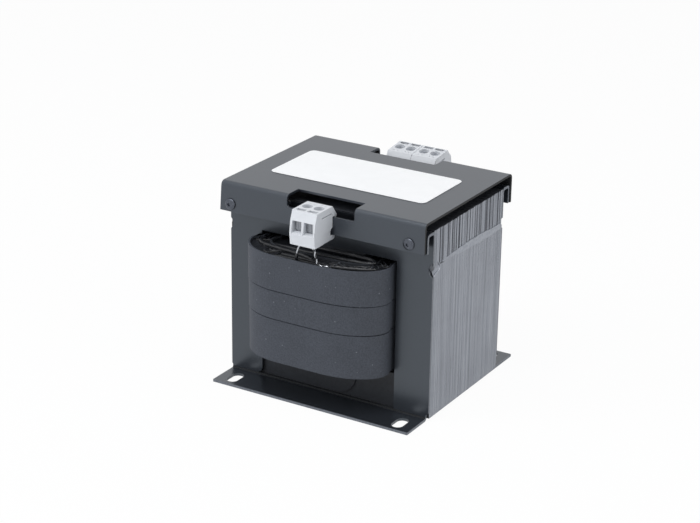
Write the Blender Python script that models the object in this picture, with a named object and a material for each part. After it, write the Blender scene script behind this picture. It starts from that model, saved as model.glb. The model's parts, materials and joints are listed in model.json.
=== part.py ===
"""Open control transformer: welded core, foot brackets, wound coil and clip-on terminals.

The front faces -Y, the rear faces +Y and the mounting surface is Z = 0.
Every size is in metres.
"""

import math

import bmesh
import bpy
from mathutils import Vector

# Clearance between pieces that touch, and how far a cutter runs past a face
GAP = 0.0003
OVERSHOOT = 0.0010

# Laminated core, in the usual shares of its width
CORE_WIDTH = 0.13335
LEG_WIDTH = CORE_WIDTH / 6
TONGUE_WIDTH = CORE_WIDTH / 3
YOKE_HEIGHT = CORE_WIDTH / 6
E_HEIGHT = 0.0914
I_HEIGHT = 0.0211
STACK_DEPTH = 0.0820
CORE_LIFT = 0.0013

# Weld along the joint of the two core stacks, and the crater where it was started
WELD_GROOVE_HEIGHT = 0.0064
WELD_GROOVE_DEPTH = 0.00145
WELD_HEIGHT = 0.0056
WELD_CROWN = 0.0002
WELD_RIPPLE = 0.00022
WELD_RIPPLES = 24
WELD_FROM_FRONT = 0.0080
WELD_FROM_REAR = 0.0010
CRATER_LENGTH = 0.0092
CRATER_HEIGHT = 0.0060
CRATER_DEPTH = 0.0015
CRATER_OFFSET = 0.0011

# Foot brackets, folded from sheet
SHEET = 0.0016
BEND_RADIUS = 0.0018
PLATE_SETBACK = 0.000125
PLATE_WIDTH = CORE_WIDTH - 2 * PLATE_SETBACK
PLATE_SHIFT = 0.0006
FOOT_SETBACK = 0.0012
FOOT_WIDTH = PLATE_WIDTH - 2 * FOOT_SETBACK
FOOT_LENGTH = 0.0208
RELIEF_HEIGHT = 0.0052
LEG_PLATE_INSET = 0.0001
LEG_PLATE_WIDTH = LEG_WIDTH - LEG_PLATE_INSET
WINDOW_BELOW_JOINT = 0.0001
WINDOW_RELIEF_SIZE = 0.0035
WINDOW_RELIEF_CHAMFER = 0.0010
LIP_ABOVE_CORE = 0.0003
SLOT_WIDTH = 0.0071
SLOT_LENGTH = 0.0127
SLOT_FROM_END = 0.00965
SLOT_FROM_PLATE = 0.0119
SLOT_END_RADIUS = 0.0035
NICK_NARROW_HEIGHT = 0.0066
NICK_NARROW_DEPTH = 0.00145
NICK_WIDE_HEIGHT = 0.0092
NICK_WIDE_DEPTH = 0.0027
NICK_WIDE_DROP = 0.0016

# Top cover, folded from sheet
COVER_SHEET = 0.0015
COVER_SETBACK = 0.000175
COVER_WIDTH = CORE_WIDTH - 2 * COVER_SETBACK
COVER_OVERHANG = 0.01075
COVER_DEPTH = STACK_DEPTH + 2 * COVER_OVERHANG
COVER_ABOVE_CORE = 0.0069
COVER_BEND_RADIUS = 0.00215
COVER_FLARE = 0.0009
FLANGE_HEIGHT = 0.0177
NOTCH_WIDTH = 0.0440
NOTCH_DROP = 0.00725
NOTCH_DEPTH = 0.0119
NOTCH_FILLET = 0.0014
LIP_GAP_MARGIN = 0.0025
LIP_GAP_WIDTH = NOTCH_WIDTH + 2 * LIP_GAP_MARGIN

# Rating label
LABEL_END_MARGIN = 0.01545
LABEL_WIDTH = COVER_WIDTH - 2 * LABEL_END_MARGIN
LABEL_SIDE_MARGIN = 0.0284
LABEL_DEPTH = COVER_DEPTH - 2 * LABEL_SIDE_MARGIN
LABEL_THICKNESS = 0.00025
LABEL_SEAT = 0.0001
LABEL_FILLET = 0.0035
LABEL_X = -0.0013

# Blind rivets
RIVET_HEAD_RADIUS = 0.00345
RIVET_HEAD_HEIGHT = 0.0013
RIVET_SHANK_RADIUS = 0.0019
RIVET_TAIL_RADIUS = 0.0027
RIVET_TAIL_LENGTH = 0.0024
RIVET_EYE_RADIUS = 0.0010
RIVET_EYE_DEPTH = 0.0008
RIVET_CROWN = ((0.62, 0.9), (0.9, 0.5), (1.0, 0.15))
RIVET_BULB = ((1.0, 0.3), (0.8, 0.8))
RIVET_FROM_LEFT = 0.0062
RIVET_FROM_RIGHT = 0.0100
RIVET_FROM_BOTTOM = 0.0046

# Coil: a former tube, two windings, a barrier and three wrap bands around the tongue
FORMER_WALL = 0.0015
FORMER_END_GAP = 0.0006
WINDING_END_GAP = 0.0026
COIL_LEFT_WINDOW_GAP = 0.0011
COIL_RIGHT_WINDOW_GAP = 0.0024
COIL_LEFT_BULGE = 0.0030
COIL_RIGHT_BULGE = -0.0014
COIL_HEAD_REACH = 0.0265
COIL_LEFT_ROUND_SHARE = 0.59
COIL_RIGHT_ROUND_SHARE = 0.79
COIL_NECK = 0.0048
COIL_NECK_FORMER_SHARES = (0.86, 0.91)
COIL_NECK_WIDE_SHARE = 0.75
COIL_NECK_DEEP_SHARE = 0.6
COIL_CORNER_STEPS = 9
WRAP_BOTTOM_GAP = 0.0015
WRAP_TOP_GAP = 0.0027
WRAP_LOWER_SHARE = 0.403
WRAP_UPPER_SHARE = 0.671
WRAP_THICKNESS = 0.0006
WRAP_OVERLAP = 0.00022
BARRIER_THICKNESS = 0.0010
INNER_WINDING_SHARE = 0.45

# Insulating card in front of the lower yoke
CARD_WIDTH = 0.0308
CARD_X = 0.0034
CARD_BOTTOM = 0.0036
CARD_THICKNESS = 0.0007
CARD_ROUND = 0.0125

# Terminal blocks, clipped on the strip of the cover flange below each notch
POLE_PITCH = 0.0075
BLOCK_WIDTH = 0.0162
BLOCK_TOP_DEPTH = 0.0157
BLOCK_KNEE_DEPTH = 0.0192
BLOCK_FOOT_DEPTH = 0.0184
BLOCK_TOP = 0.0168
BLOCK_KNEE = 0.0040
BLOCK_BOTTOM = -0.0028
HOOK_REACH = 0.0026
HOOK_DROP = 0.0011
HOOK_THICKNESS = 0.0011
LOWER_HOOK_REACH = 0.0010
LOWER_HOOK_RISE = 0.0007
REAR_RECESS_DEPTH = 0.0017
REAR_RECESS_TOP = 0.0037
REAR_RECESS_SLOPE = 0.0009
SIDE_STEP_FROM_FACE = 0.0096
SIDE_STEP_TOP = 0.0030
SIDE_STEP_DEPTH = 0.0003
SIDE_SLIT_Z = 0.0126
SIDE_SLIT_NEAR = 0.0010
SIDE_SLIT_FAR = 0.0112
SIDE_SLIT_WIDTH = 0.0004
CELL_WIDTH = 0.0059
CELL_BOTTOM = 0.0047
CELL_TOP = 0.0113
CELL_BACK = 0.0032
FUNNEL_SPREAD = 0.0005
FUNNEL_SILL = 0.0010
FUNNEL_DEPTH = 0.0026
FUNNEL_INSET = 0.0001
SCREW_AXIS_DEPTH = 0.00746
BORE_RADIUS = 0.00305
PROBE_SLOT_DEPTH = 0.0138
PROBE_SLOT_WIDTH = 0.0015
PIP_SIZE = 0.0005
PIP_DEPTH = 0.0004
PIP_SPREAD = 0.00125
PIP_FROM_FACE = 0.0025

# Clamp inside each pole
CAGE_WALL = 0.0009
CAGE_CLEARANCE = 0.0003
CAGE_TOP_WALL = 0.0011
CAGE_FRONT_DEPTH = 0.0112
CAGE_FLOOR_DEPTH = 0.0156
TAIL_WIDTH = 0.0018
TAIL_THICKNESS = 0.0008
TAIL_DEPTH = 0.0142
TAIL_BELOW_BLOCK = 0.0013
SHOE_WIDTH = 0.0047
SHOE_SHEET = 0.0007
SHOE_SKIRT_DEPTH = 0.0123
SHOE_SKIRT_TOP = 0.0108
SHOE_BACK_DEPTH = 0.0050
SHOE_RIBS = 5
SHOE_RIB_HEIGHT = 0.0003
SHOE_RIB_FLANK = 0.3
SHOE_FOOT_INSET = 0.00003
CLAMP_TRAVEL = 0.0025
SCREW_HEAD_RADIUS = 0.0024
SCREW_HEAD_HEIGHT = 0.0018
SCREW_HEAD_CHAMFER = 0.0002
SCREW_SHANK_RADIUS = 0.0015
SCREW_POINT = 0.0004
SCREW_SLOT_WIDTH = 0.0008
SCREW_SLOT_DEPTH = 0.0009

# Where each block stands along the cover, and how the rear ones lean back on the strip
FRONT_BLOCK_X = 0.0001
REAR_BLOCK_X = 0.0002
REAR_BLOCK_PITCH = 0.0165
REAR_TILT = math.radians(7.2)
REAR_OUT = 0.00065
REAR_LIFT = 0.0004

# Leads from the coil to the terminal tails
LEAD_RADIUS = 0.0007
LEAD_STEPS = 20
LEAD_BEVEL_STEPS = 2
LEAD_LANDING_INSET = 0.0070
LEAD_SPREAD = 0.0022
LEAD_STATIONS = (
    (0.0, 0.0, 0.0), (0.0, 0.0, 0.2), (0.3, 0.4, 0.55), (0.8, 0.8, 0.88), (1.4, 1.0, 1.0),
    (3.0, 1.0, 1.0),
)

# Roundness of turned pieces
TURN_STEPS = 20
BORE_STEPS = 24
GROOVE_STEPS = 40
CRATER_STEPS = 20
SLOT_END_STEPS = 6
CARD_STEPS = 8
FORMER_CORNER_STEPS = 3
WELD_STEPS = 6
BEND_STEPS = 4

# Places worked out from the sizes above
CORE_HALF = CORE_WIDTH / 2
LEG_INSIDE = CORE_HALF - LEG_WIDTH
STACK_HALF = STACK_DEPTH / 2
YOKE_TOP = CORE_LIFT + YOKE_HEIGHT
E_TOP = CORE_LIFT + E_HEIGHT
I_BOTTOM = E_TOP + GAP
I_TOP = I_BOTTOM + I_HEIGHT
JOINT_Z = E_TOP + GAP / 2
PLATE_INSIDE = STACK_HALF + GAP
PLATE_OUTSIDE = PLATE_INSIDE + SHEET
WINDOW_TOP = E_TOP - WINDOW_BELOW_JOINT
LIP_TOP = I_TOP + LIP_ABOVE_CORE
SLOT_X = FOOT_WIDTH / 2 - SLOT_FROM_END
COVER_HALF = COVER_DEPTH / 2
COVER_TOP = I_TOP + COVER_ABOVE_CORE
FLANGE_BOTTOM = COVER_TOP - FLANGE_HEIGHT
NOTCH_BOTTOM = COVER_TOP - NOTCH_DROP
RIVET_LEFT_X = RIVET_FROM_LEFT - COVER_WIDTH / 2
RIVET_RIGHT_X = COVER_WIDTH / 2 - RIVET_FROM_RIGHT
RIVET_Z = FLANGE_BOTTOM + RIVET_FROM_BOTTOM
FLANGE_INSIDE = COVER_HALF - COVER_SHEET
LIP_OUTSIDE = FLANGE_INSIDE - GAP
LIP_INSIDE = LIP_OUTSIDE - SHEET
STRIP_HEIGHT = NOTCH_BOTTOM - FLANGE_BOTTOM
FORMER_INSIDE_X = TONGUE_WIDTH / 2 + GAP
FORMER_INSIDE_Y = STACK_HALF + GAP
FORMER_OUTSIDE_X = FORMER_INSIDE_X + FORMER_WALL
FORMER_OUTSIDE_Y = FORMER_INSIDE_Y + FORMER_WALL
FORMER_BOTTOM = YOKE_TOP + FORMER_END_GAP
FORMER_TOP = I_BOTTOM - FORMER_END_GAP
COIL_HEAD = STACK_HALF + COIL_HEAD_REACH
COIL_ROUND_Y = COIL_HEAD_REACH - PLATE_OUTSIDE + STACK_HALF - COIL_NECK
WRAP_BOTTOM = YOKE_TOP + WRAP_BOTTOM_GAP
WRAP_TOP = E_TOP - WRAP_TOP_GAP
WRAP_LOWER_SEAM = WRAP_BOTTOM + (WRAP_TOP - WRAP_BOTTOM) * WRAP_LOWER_SHARE
WRAP_UPPER_SEAM = WRAP_BOTTOM + (WRAP_TOP - WRAP_BOTTOM) * WRAP_UPPER_SHARE
CELL_HALF = CELL_WIDTH / 2
CAGE_BOTTOM = CELL_BOTTOM + CAGE_CLEARANCE
CAGE_TOP = CELL_TOP - CAGE_CLEARANCE
SHOE_BOTTOM = CAGE_BOTTOM + CAGE_WALL + GAP
SHOE_TOP = SHOE_BOTTOM + SHOE_SHEET
SCREW_SEAT = CAGE_TOP + GAP
SCREW_TIP = SHOE_TOP + GAP

PLANES = {
    "x": lambda a, b, along: (along, a, b),
    "y": lambda a, b, along: (a, along, b),
    "z": lambda a, b, along: (a, b, along),
}


def clear_scene():
    """Remove every object that the file starts with."""
    for item in list(bpy.data.objects):
        bpy.data.objects.remove(item, do_unlink=True)


def finish_of(name, colour, roughness, metallic):
    """One material with a plain principled surface."""
    material = bpy.data.materials.new(name)
    material.use_nodes = True
    shader = material.node_tree.nodes["Principled BSDF"]
    shader.inputs["Base Color"].default_value = (*colour, 1.0)
    shader.inputs["Roughness"].default_value = roughness
    shader.inputs["Metallic"].default_value = metallic
    return material


def add_object(name, shape, material=None, parent=None, location=(0, 0, 0), turn=(0, 0, 0)):
    """Turn a bmesh into a named object at its place."""
    mesh = bpy.data.meshes.new(name)
    bmesh.ops.recalc_face_normals(shape, faces=shape.faces)
    shape.to_mesh(mesh)
    shape.free()
    if material:
        mesh.materials.append(material)
    item = bpy.data.objects.new(name, mesh)
    item.location = location
    item.rotation_euler = turn
    item.parent = parent
    bpy.context.collection.objects.link(item)
    return item


def smooth(item, degrees=40):
    """Shade round faces smooth and keep real edges sharp."""
    item.data.shade_smooth()
    item.data.set_sharp_from_angle(angle=math.radians(degrees))


def combine(target, name, shape, operation="DIFFERENCE", location=None):
    """Cut a shape out of the target, or add it, in the target's own frame."""
    place = target.location if location is None else location
    tool = add_object(name, shape, None, target.parent, place, target.rotation_euler)
    tool.display_type = "WIRE"
    tool.hide_render = True
    step = target.modifiers.new(name, "BOOLEAN")
    step.operation = operation
    step.solver = "EXACT"
    step.object = tool


def prism(outline, axis, low, high):
    """Extrude a flat outline along one axis."""
    place = PLANES[axis]
    shape = bmesh.new()
    corners = [shape.verts.new(place(a, b, low)) for a, b in outline]
    face = shape.faces.new(corners)
    grown = bmesh.ops.extrude_face_region(shape, geom=[face])
    moved = [item for item in grown["geom"] if isinstance(item, bmesh.types.BMVert)]
    bmesh.ops.translate(shape, verts=moved, vec=Vector(place(0, 0, high - low)))
    return shape


def block(low, high):
    """A box between two corners."""
    outline = [(low[0], low[1]), (high[0], low[1]), (high[0], high[1]), (low[0], high[1])]
    return prism(outline, "z", low[2], high[2])


def circle(centre, radius, steps):
    """Points around a circle."""
    points = []
    for step in range(steps):
        angle = 2 * math.pi * step / steps
        points.append((centre[0] + radius * math.cos(angle), centre[1] + radius * math.sin(angle)))
    return points


def rounded_outline(corners, radii, steps=5):
    """A closed outline whose corners are rounded by an arc each, or stay sharp at radius 0."""
    points = []
    count = len(corners)
    for index, corner in enumerate(corners):
        radius = radii[index]
        here = Vector(corner)
        if radius == 0:
            points.append(tuple(here))
            continue
        before = Vector(corners[index - 1])
        after = Vector(corners[(index + 1) % count])
        points.extend(corner_arc(before, here, after, radius, steps))
    return points


def corner_arc(before, corner, after, radius, steps):
    """Points of the arc that rounds the corner between two straight runs."""
    back = (before - corner).normalized()
    ahead = (after - corner).normalized()
    half = back.angle(ahead) / 2
    reach = radius / math.tan(half)
    centre = corner + (back + ahead).normalized() * radius / math.sin(half)
    start = corner + back * reach - centre
    end = corner + ahead * reach - centre
    first = math.atan2(start.y, start.x)
    sweep = math.atan2(end.y, end.x) - first
    sweep = (sweep + math.pi) % (2 * math.pi) - math.pi
    points = []
    for step in range(steps + 1):
        angle = first + sweep * step / steps
        points.append((centre.x + radius * math.cos(angle), centre.y + radius * math.sin(angle)))
    return points


def sheet_section(corners, thickness, radius):
    """Closed section of a sheet folded along the corners of its middle line."""
    path = [Vector(corners[0])]
    for before, corner, after in zip(corners, corners[1:], corners[2:]):
        arc = corner_arc(Vector(before), Vector(corner), Vector(after), radius, BEND_STEPS)
        path.extend(Vector(point) for point in arc)
    path.append(Vector(corners[-1]))
    one_side = []
    other_side = []
    for index, point in enumerate(path):
        into = (point - path[index - 1]) if index else (path[1] - point)
        out = (path[index + 1] - point) if index + 1 < len(path) else into
        into = into.normalized()
        out = out.normalized()
        across = (into + out).normalized()
        across = Vector((-across.y, across.x)) * thickness / 2 / into.dot(across)
        one_side.append(tuple(point + across))
        other_side.append(tuple(point - across))
    return one_side + other_side[::-1]


def turned(profile, steps):
    """Revolve a profile of radius and height about Z."""
    shape = bmesh.new()
    corners = [shape.verts.new((radius, 0, height)) for radius, height in profile]
    edges = [shape.edges.new(pair) for pair in zip(corners, corners[1:])]
    bmesh.ops.spin(shape, geom=corners + edges, cent=(0, 0, 0), axis=(0, 0, 1),
                   angle=2 * math.pi, steps=steps, use_merge=False)
    bmesh.ops.remove_doubles(shape, verts=shape.verts, dist=1e-6)
    return shape


def add_tube(name, points, radius, material):
    """A round bar along a list of points, closed at both ends."""
    curve = bpy.data.curves.new(name, "CURVE")
    curve.dimensions = "3D"
    curve.bevel_depth = radius
    curve.bevel_resolution = LEAD_BEVEL_STEPS
    curve.use_fill_caps = True
    run = curve.splines.new("POLY")
    run.points.add(len(points) - 1)
    for index, point in enumerate(points):
        run.points[index].co = (*point, 1.0)
    curve.materials.append(material)
    item = bpy.data.objects.new(name, curve)
    bpy.context.collection.objects.link(item)


def smooth_route(stations, segments):
    """Points on one smooth curve through the stations."""
    ends = [stations[0] * 2 - stations[1]] + stations + [stations[-1] * 2 - stations[-2]]
    spans = len(stations) - 1
    points = []
    for step in range(segments + 1):
        position = spans * step / segments
        span = min(int(position), spans - 1)
        t = position - span
        p0, p1, p2, p3 = ends[span:span + 4]
        point = (p1 * 2 + (p2 - p0) * t + (p0 * 2 - p1 * 5 + p2 * 4 - p3) * t ** 2
                 + (p1 * 3 - p0 - p2 * 3 + p3) * t ** 3) / 2
        points.append(point)
    return points


def arc_radius(height, depth):
    """Radius of the arc that is as high and as deep as a groove."""
    return (height ** 2 / 4 + depth ** 2) / (2 * depth)


def edge_groove(side, edge, middle, height, depth):
    """A shallow round groove from front to rear in an upright edge."""
    radius = arc_radius(height, depth)
    centre = (edge + side * (radius - depth), middle)
    return prism(circle(centre, radius, GROOVE_STEPS), "y", -COVER_HALF, COVER_HALF)


def weld_groove(side):
    """The groove along the joint of the two core stacks."""
    return edge_groove(side, side * CORE_HALF, JOINT_Z, WELD_GROOVE_HEIGHT, WELD_GROOVE_DEPTH)


def weld_crater():
    """The hollow that the start of the weld burnt into the front right corner."""
    shape = bmesh.new()
    bmesh.ops.create_uvsphere(shape, u_segments=CRATER_STEPS, v_segments=CRATER_STEPS, radius=1.0)
    size = Vector((CRATER_DEPTH + CRATER_OFFSET, CRATER_LENGTH, CRATER_HEIGHT))
    bmesh.ops.scale(shape, verts=shape.verts, vec=size)
    place = Vector((CORE_HALF + CRATER_OFFSET, -STACK_HALF - CRATER_OFFSET, JOINT_Z))
    bmesh.ops.translate(shape, verts=shape.verts, vec=place)
    return shape


def build_core(steel, weld_steel):
    """The E stack, the I stack on top of it and the weld bead on each side."""
    inner = LEG_INSIDE
    tongue = TONGUE_WIDTH / 2
    e_outline = [
        (-CORE_HALF, CORE_LIFT), (CORE_HALF, CORE_LIFT), (CORE_HALF, E_TOP), (inner, E_TOP),
        (inner, YOKE_TOP), (tongue, YOKE_TOP), (tongue, E_TOP), (-tongue, E_TOP),
        (-tongue, YOKE_TOP), (-inner, YOKE_TOP), (-inner, E_TOP), (-CORE_HALF, E_TOP),
    ]
    e_stack = add_object("e_core_stack", prism(e_outline, "y", -STACK_HALF, STACK_HALF), steel)
    i_shape = block((-CORE_HALF, -STACK_HALF, I_BOTTOM), (CORE_HALF, STACK_HALF, I_TOP))
    i_stack = add_object("i_core_stack", i_shape, steel)
    combine(e_stack, "crater_e", weld_crater())
    for side, word in ((-1, "left"), (1, "right")):
        combine(e_stack, f"groove_e_{word}", weld_groove(side))
        combine(i_stack, f"groove_i_{word}", weld_groove(side))
        add_weld(f"weld_bead_{word}", side, weld_steel)


def weld_section(side, crown):
    """Section of the weld: the groove's arc inside and a low crown outside."""
    radius = arc_radius(WELD_GROOVE_HEIGHT, WELD_GROOVE_DEPTH) - GAP
    middle = side * (CORE_HALF - WELD_GROOVE_DEPTH + GAP + radius)
    points = []
    for step in range(WELD_STEPS + 1):
        height = WELD_HEIGHT * (step / WELD_STEPS - 0.5)
        points.append((middle - side * math.sqrt(radius ** 2 - height ** 2), height))
    for step in range(WELD_STEPS - 1, 0, -1):
        share = 2 * step / WELD_STEPS - 1
        edge = middle - side * math.sqrt(radius ** 2 - WELD_HEIGHT ** 2 / 4)
        outside = side * (CORE_HALF + crown)
        points.append((edge + (outside - edge) * (1 - share ** 2), WELD_HEIGHT * share / 2))
    return points


def add_weld(name, side, material):
    """A rippled weld bead that fills the groove between the two ends of the stack."""
    count = WELD_RIPPLES * 2 + 1
    front = WELD_FROM_FRONT - STACK_HALF
    length = STACK_DEPTH - WELD_FROM_FRONT - WELD_FROM_REAR
    shape = bmesh.new()
    loops = []
    for index in range(count):
        y = front + length * index / (count - 1)
        section = weld_section(side, WELD_CROWN - WELD_RIPPLE * (index % 2))
        loops.append([shape.verts.new((x, y, JOINT_Z + z)) for x, z in section])
    for here, ahead in zip(loops, loops[1:]):
        for index in range(len(here)):
            shape.faces.new((here[index - 1], here[index], ahead[index], ahead[index - 1]))
    shape.faces.new(loops[0])
    shape.faces.new(loops[-1])
    smooth(add_object(name, shape, material))


def add_bracket(name, material, turn):
    """A folded foot bracket: foot, two legs, a top band and a lip for the cover."""
    plate = -(PLATE_INSIDE + SHEET / 2)
    lip = -(LIP_OUTSIDE - SHEET / 2)
    foot_end = -(PLATE_OUTSIDE + FOOT_LENGTH)
    top = LIP_TOP - SHEET / 2
    corners = [(foot_end, SHEET / 2), (plate, SHEET / 2), (plate, top), (lip, top),
               (lip, FLANGE_BOTTOM)]
    section = sheet_section(corners, SHEET, BEND_RADIUS)
    left = PLATE_SHIFT - PLATE_WIDTH / 2
    right = PLATE_SHIFT + PLATE_WIDTH / 2
    bracket = add_object(name, prism(section, "x", left, right), material, None,
                         (0, 0, 0), (0, 0, turn))
    combine(bracket, f"{name}_window", bracket_window())
    combine(bracket, f"{name}_lip_gap", lip_gap())
    for side, word in ((-1, "left"), (1, "right")):
        combine(bracket, f"{name}_relief_{word}", foot_relief(side))
        combine(bracket, f"{name}_slot_{word}", foot_slot(side))
    narrow = edge_groove(-1, left, JOINT_Z, NICK_NARROW_HEIGHT, NICK_NARROW_DEPTH)
    combine(bracket, f"{name}_nick_left", narrow)
    wide = edge_groove(1, right, JOINT_Z - NICK_WIDE_DROP, NICK_WIDE_HEIGHT, NICK_WIDE_DEPTH)
    combine(bracket, f"{name}_nick_right", wide)
    for x, word in ((RIVET_LEFT_X, "left"), (RIVET_RIGHT_X, "right")):
        combine(bracket, f"{name}_rivet_hole_{word}", rivet_hole(x, -1))


def bracket_window():
    """The opening for the coil, with a round relief at the foot of the left leg."""
    half = CORE_HALF - LEG_PLATE_WIDTH
    bottom = SHEET / 2 + BEND_RADIUS
    relief = WINDOW_RELIEF_SIZE
    chamfer = WINDOW_RELIEF_CHAMFER
    outline = [
        (half, bottom), (half, WINDOW_TOP), (-half, WINDOW_TOP), (-half, bottom + relief),
        (-half - chamfer, bottom + chamfer), (-half - relief, bottom),
    ]
    rear = -STACK_HALF
    front = -(LIP_INSIDE - GAP)
    return prism(outline, "y", front, rear)


def lip_gap():
    """The middle of the lip is left out, where the terminal block hooks on."""
    half = LIP_GAP_WIDTH / 2
    low = (-half, -COVER_HALF, WINDOW_TOP + SHEET)
    high = (half, -(PLATE_OUTSIDE + GAP), LIP_TOP + SHEET)
    return block(low, high)


def foot_relief(side):
    """The foot is narrower than the plate, with a slanted relief above the bend."""
    inner = FOOT_WIDTH / 2
    outer = PLATE_WIDTH / 2 + PLATE_SHIFT + SHEET
    outline = [(side * inner, -SHEET), (side * outer, -SHEET),
               (side * outer, RELIEF_HEIGHT + SHEET), (side * inner, RELIEF_HEIGHT - SHEET)]
    return prism(outline, "y", -(PLATE_OUTSIDE + FOOT_LENGTH + SHEET), -STACK_HALF)


def foot_slot(side):
    """An obround mounting slot, long from front to rear."""
    half = SLOT_WIDTH / 2
    reach = SLOT_LENGTH / 2
    centre = -(PLATE_OUTSIDE + SLOT_FROM_PLATE)
    x = side * SLOT_X
    corners = [(x - half, centre - reach), (x + half, centre - reach),
               (x + half, centre + reach), (x - half, centre + reach)]
    outline = rounded_outline(corners, [SLOT_END_RADIUS] * 4, SLOT_END_STEPS)
    return prism(outline, "z", -OVERSHOOT, SHEET + OVERSHOOT)


def rivet_hole(x, side):
    """A round hole through flange and lip."""
    ends = sorted((side * (LIP_INSIDE - SHEET), side * (COVER_HALF + SHEET)))
    centre = (x * -side, RIVET_Z)
    return prism(circle(centre, RIVET_SHANK_RADIUS + GAP, BORE_STEPS), "y", *ends)


def build_cover(cover_paint, label_film, rivet_metal):
    """The folded cover, its label and the four rivets that hold it."""
    flange = COVER_HALF - COVER_SHEET / 2
    top = COVER_TOP - COVER_SHEET / 2
    corners = [(-flange, FLANGE_BOTTOM), (-flange, top), (flange, top), (flange, FLANGE_BOTTOM)]
    section = sheet_section(corners, COVER_SHEET, COVER_BEND_RADIUS)
    half = COVER_WIDTH / 2
    shape = prism(section, "x", -half, half)
    flare_front_corner(shape)
    cover = add_object("top_cover", shape, cover_paint)
    for side, word in ((-1, "front"), (1, "rear")):
        combine(cover, f"cover_notch_{word}", cover_notch(side))
        for x, hand in ((RIVET_LEFT_X, "left"), (RIVET_RIGHT_X, "right")):
            combine(cover, f"cover_rivet_hole_{word}_{hand}", rivet_hole(x, side))
            add_rivet(f"rivet_{word}_{hand}", x * -side, side, rivet_metal)
    corners = [(-LABEL_WIDTH / 2, -LABEL_DEPTH / 2), (LABEL_WIDTH / 2, -LABEL_DEPTH / 2),
               (LABEL_WIDTH / 2, LABEL_DEPTH / 2), (-LABEL_WIDTH / 2, LABEL_DEPTH / 2)]
    outline = rounded_outline(corners, [LABEL_FILLET] * 4)
    low = COVER_TOP + LABEL_SEAT
    label = prism(outline, "z", low, low + LABEL_THICKNESS)
    add_object("rating_label", label, label_film, None, (LABEL_X, 0, 0))


def flare_front_corner(shape):
    """The left end of the front flange spreads a little towards its free edge."""
    for corner in shape.verts:
        if corner.co.x < 0 and corner.co.y < -FLANGE_INSIDE + GAP:
            drop = (COVER_TOP - corner.co.z) / FLANGE_HEIGHT
            corner.co.x -= COVER_FLARE * drop ** 2


def cover_notch(side):
    """The notch in the top edge of a flange, cut back into the top."""
    half = NOTCH_WIDTH / 2
    fillet = NOTCH_FILLET
    flange = [(-half, NOTCH_BOTTOM), (half, NOTCH_BOTTOM), (half, COVER_TOP + COVER_SHEET),
              (-half, COVER_TOP + COVER_SHEET)]
    outline = rounded_outline(flange, [fillet, fillet, 0, 0])
    ends = sorted((side * (COVER_HALF - NOTCH_DEPTH), side * (COVER_HALF + COVER_SHEET)))
    return prism(outline, "y", *ends)


def add_rivet(name, x, side, material):
    """A blind rivet: domed head, shank and the bulb behind the lip."""
    seat = GAP
    grip = COVER_HALF - LIP_INSIDE + 2 * GAP
    head = RIVET_HEAD_HEIGHT
    eye = seat + head - RIVET_EYE_DEPTH
    profile = [(0, eye), (RIVET_EYE_RADIUS, eye), (RIVET_EYE_RADIUS, seat + head)]
    for wide, high in RIVET_CROWN:
        profile.append((RIVET_HEAD_RADIUS * wide, seat + head * high))
    profile.extend([(RIVET_HEAD_RADIUS, seat), (RIVET_SHANK_RADIUS, seat),
                    (RIVET_SHANK_RADIUS, seat - grip)])
    for wide, deep in RIVET_BULB:
        profile.append((RIVET_TAIL_RADIUS * wide, seat - grip - RIVET_TAIL_LENGTH * deep))
    profile.append((0, seat - grip - RIVET_TAIL_LENGTH))
    rivet = add_object(name, turned(profile, TURN_STEPS), material, None,
                       (x, side * COVER_HALF, RIVET_Z), (-side * math.pi / 2, 0, 0))
    smooth(rivet)


def coil_stations():
    """Matching points on the former and on the outside of the coil, around the front half."""
    inner_x = FORMER_OUTSIDE_X
    inner_y = FORMER_OUTSIDE_Y
    neck_in = PLATE_OUTSIDE + 2 * GAP
    neck_out = COIL_HEAD - COIL_ROUND_Y
    pairs = []
    for hand, window, wide, round_share in (
            (1, LEG_INSIDE - COIL_RIGHT_WINDOW_GAP, LEG_INSIDE + COIL_RIGHT_BULGE,
             COIL_RIGHT_ROUND_SHARE),
            (-1, LEG_INSIDE - COIL_LEFT_WINDOW_GAP, LEG_INSIDE + COIL_LEFT_BULGE,
             COIL_LEFT_ROUND_SHARE)):
        bulge = hand * (window + (wide - window) * COIL_NECK_WIDE_SHARE)
        ahead = -(neck_in + (neck_out - neck_in) * COIL_NECK_DEEP_SHARE)
        first, second = (-inner_y * share for share in COIL_NECK_FORMER_SHARES)
        side = [
            ((hand * inner_x, first), (hand * window, -neck_in)),
            ((hand * inner_x, second), (bulge, ahead)),
        ]
        for step in range(COIL_CORNER_STEPS + 1):
            angle = math.pi / 2 * step / COIL_CORNER_STEPS
            inner = (hand * (inner_x - GAP * (1 - math.cos(angle))),
                     -(inner_y - GAP * (1 - math.sin(angle))))
            outer = (hand * wide * (1 - round_share * (1 - math.cos(angle))),
                     -(COIL_HEAD - COIL_ROUND_Y * (1 - math.sin(angle))))
            side.append((inner, outer))
        pairs.extend(side if hand > 0 else side[::-1])
    return pairs


def coil_outline(share):
    """The coil's outline at a share of the way from the former to its outside."""
    front = []
    for inner, outer in coil_stations():
        x = inner[0] + (outer[0] - inner[0]) * share
        y = inner[1] + (outer[1] - inner[1]) * share
        front.append((x, y))
    return front + [(x, -y) for x, y in front[::-1]]


def ring(inner, outer, low, high):
    """A closed band between two outlines with as many points each."""
    shape = bmesh.new()
    inside = [shape.verts.new((x, y, low)) for x, y in inner]
    outside = [shape.verts.new((x, y, low)) for x, y in outer]
    count = len(inside)
    faces = []
    for index in range(count):
        after = (index + 1) % count
        faces.append(shape.faces.new((inside[index], inside[after], outside[after], outside[index])))
    grown = bmesh.ops.extrude_face_region(shape, geom=faces)
    moved = [item for item in grown["geom"] if isinstance(item, bmesh.types.BMVert)]
    bmesh.ops.translate(shape, verts=moved, vec=(0, 0, high - low))
    return shape


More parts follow.
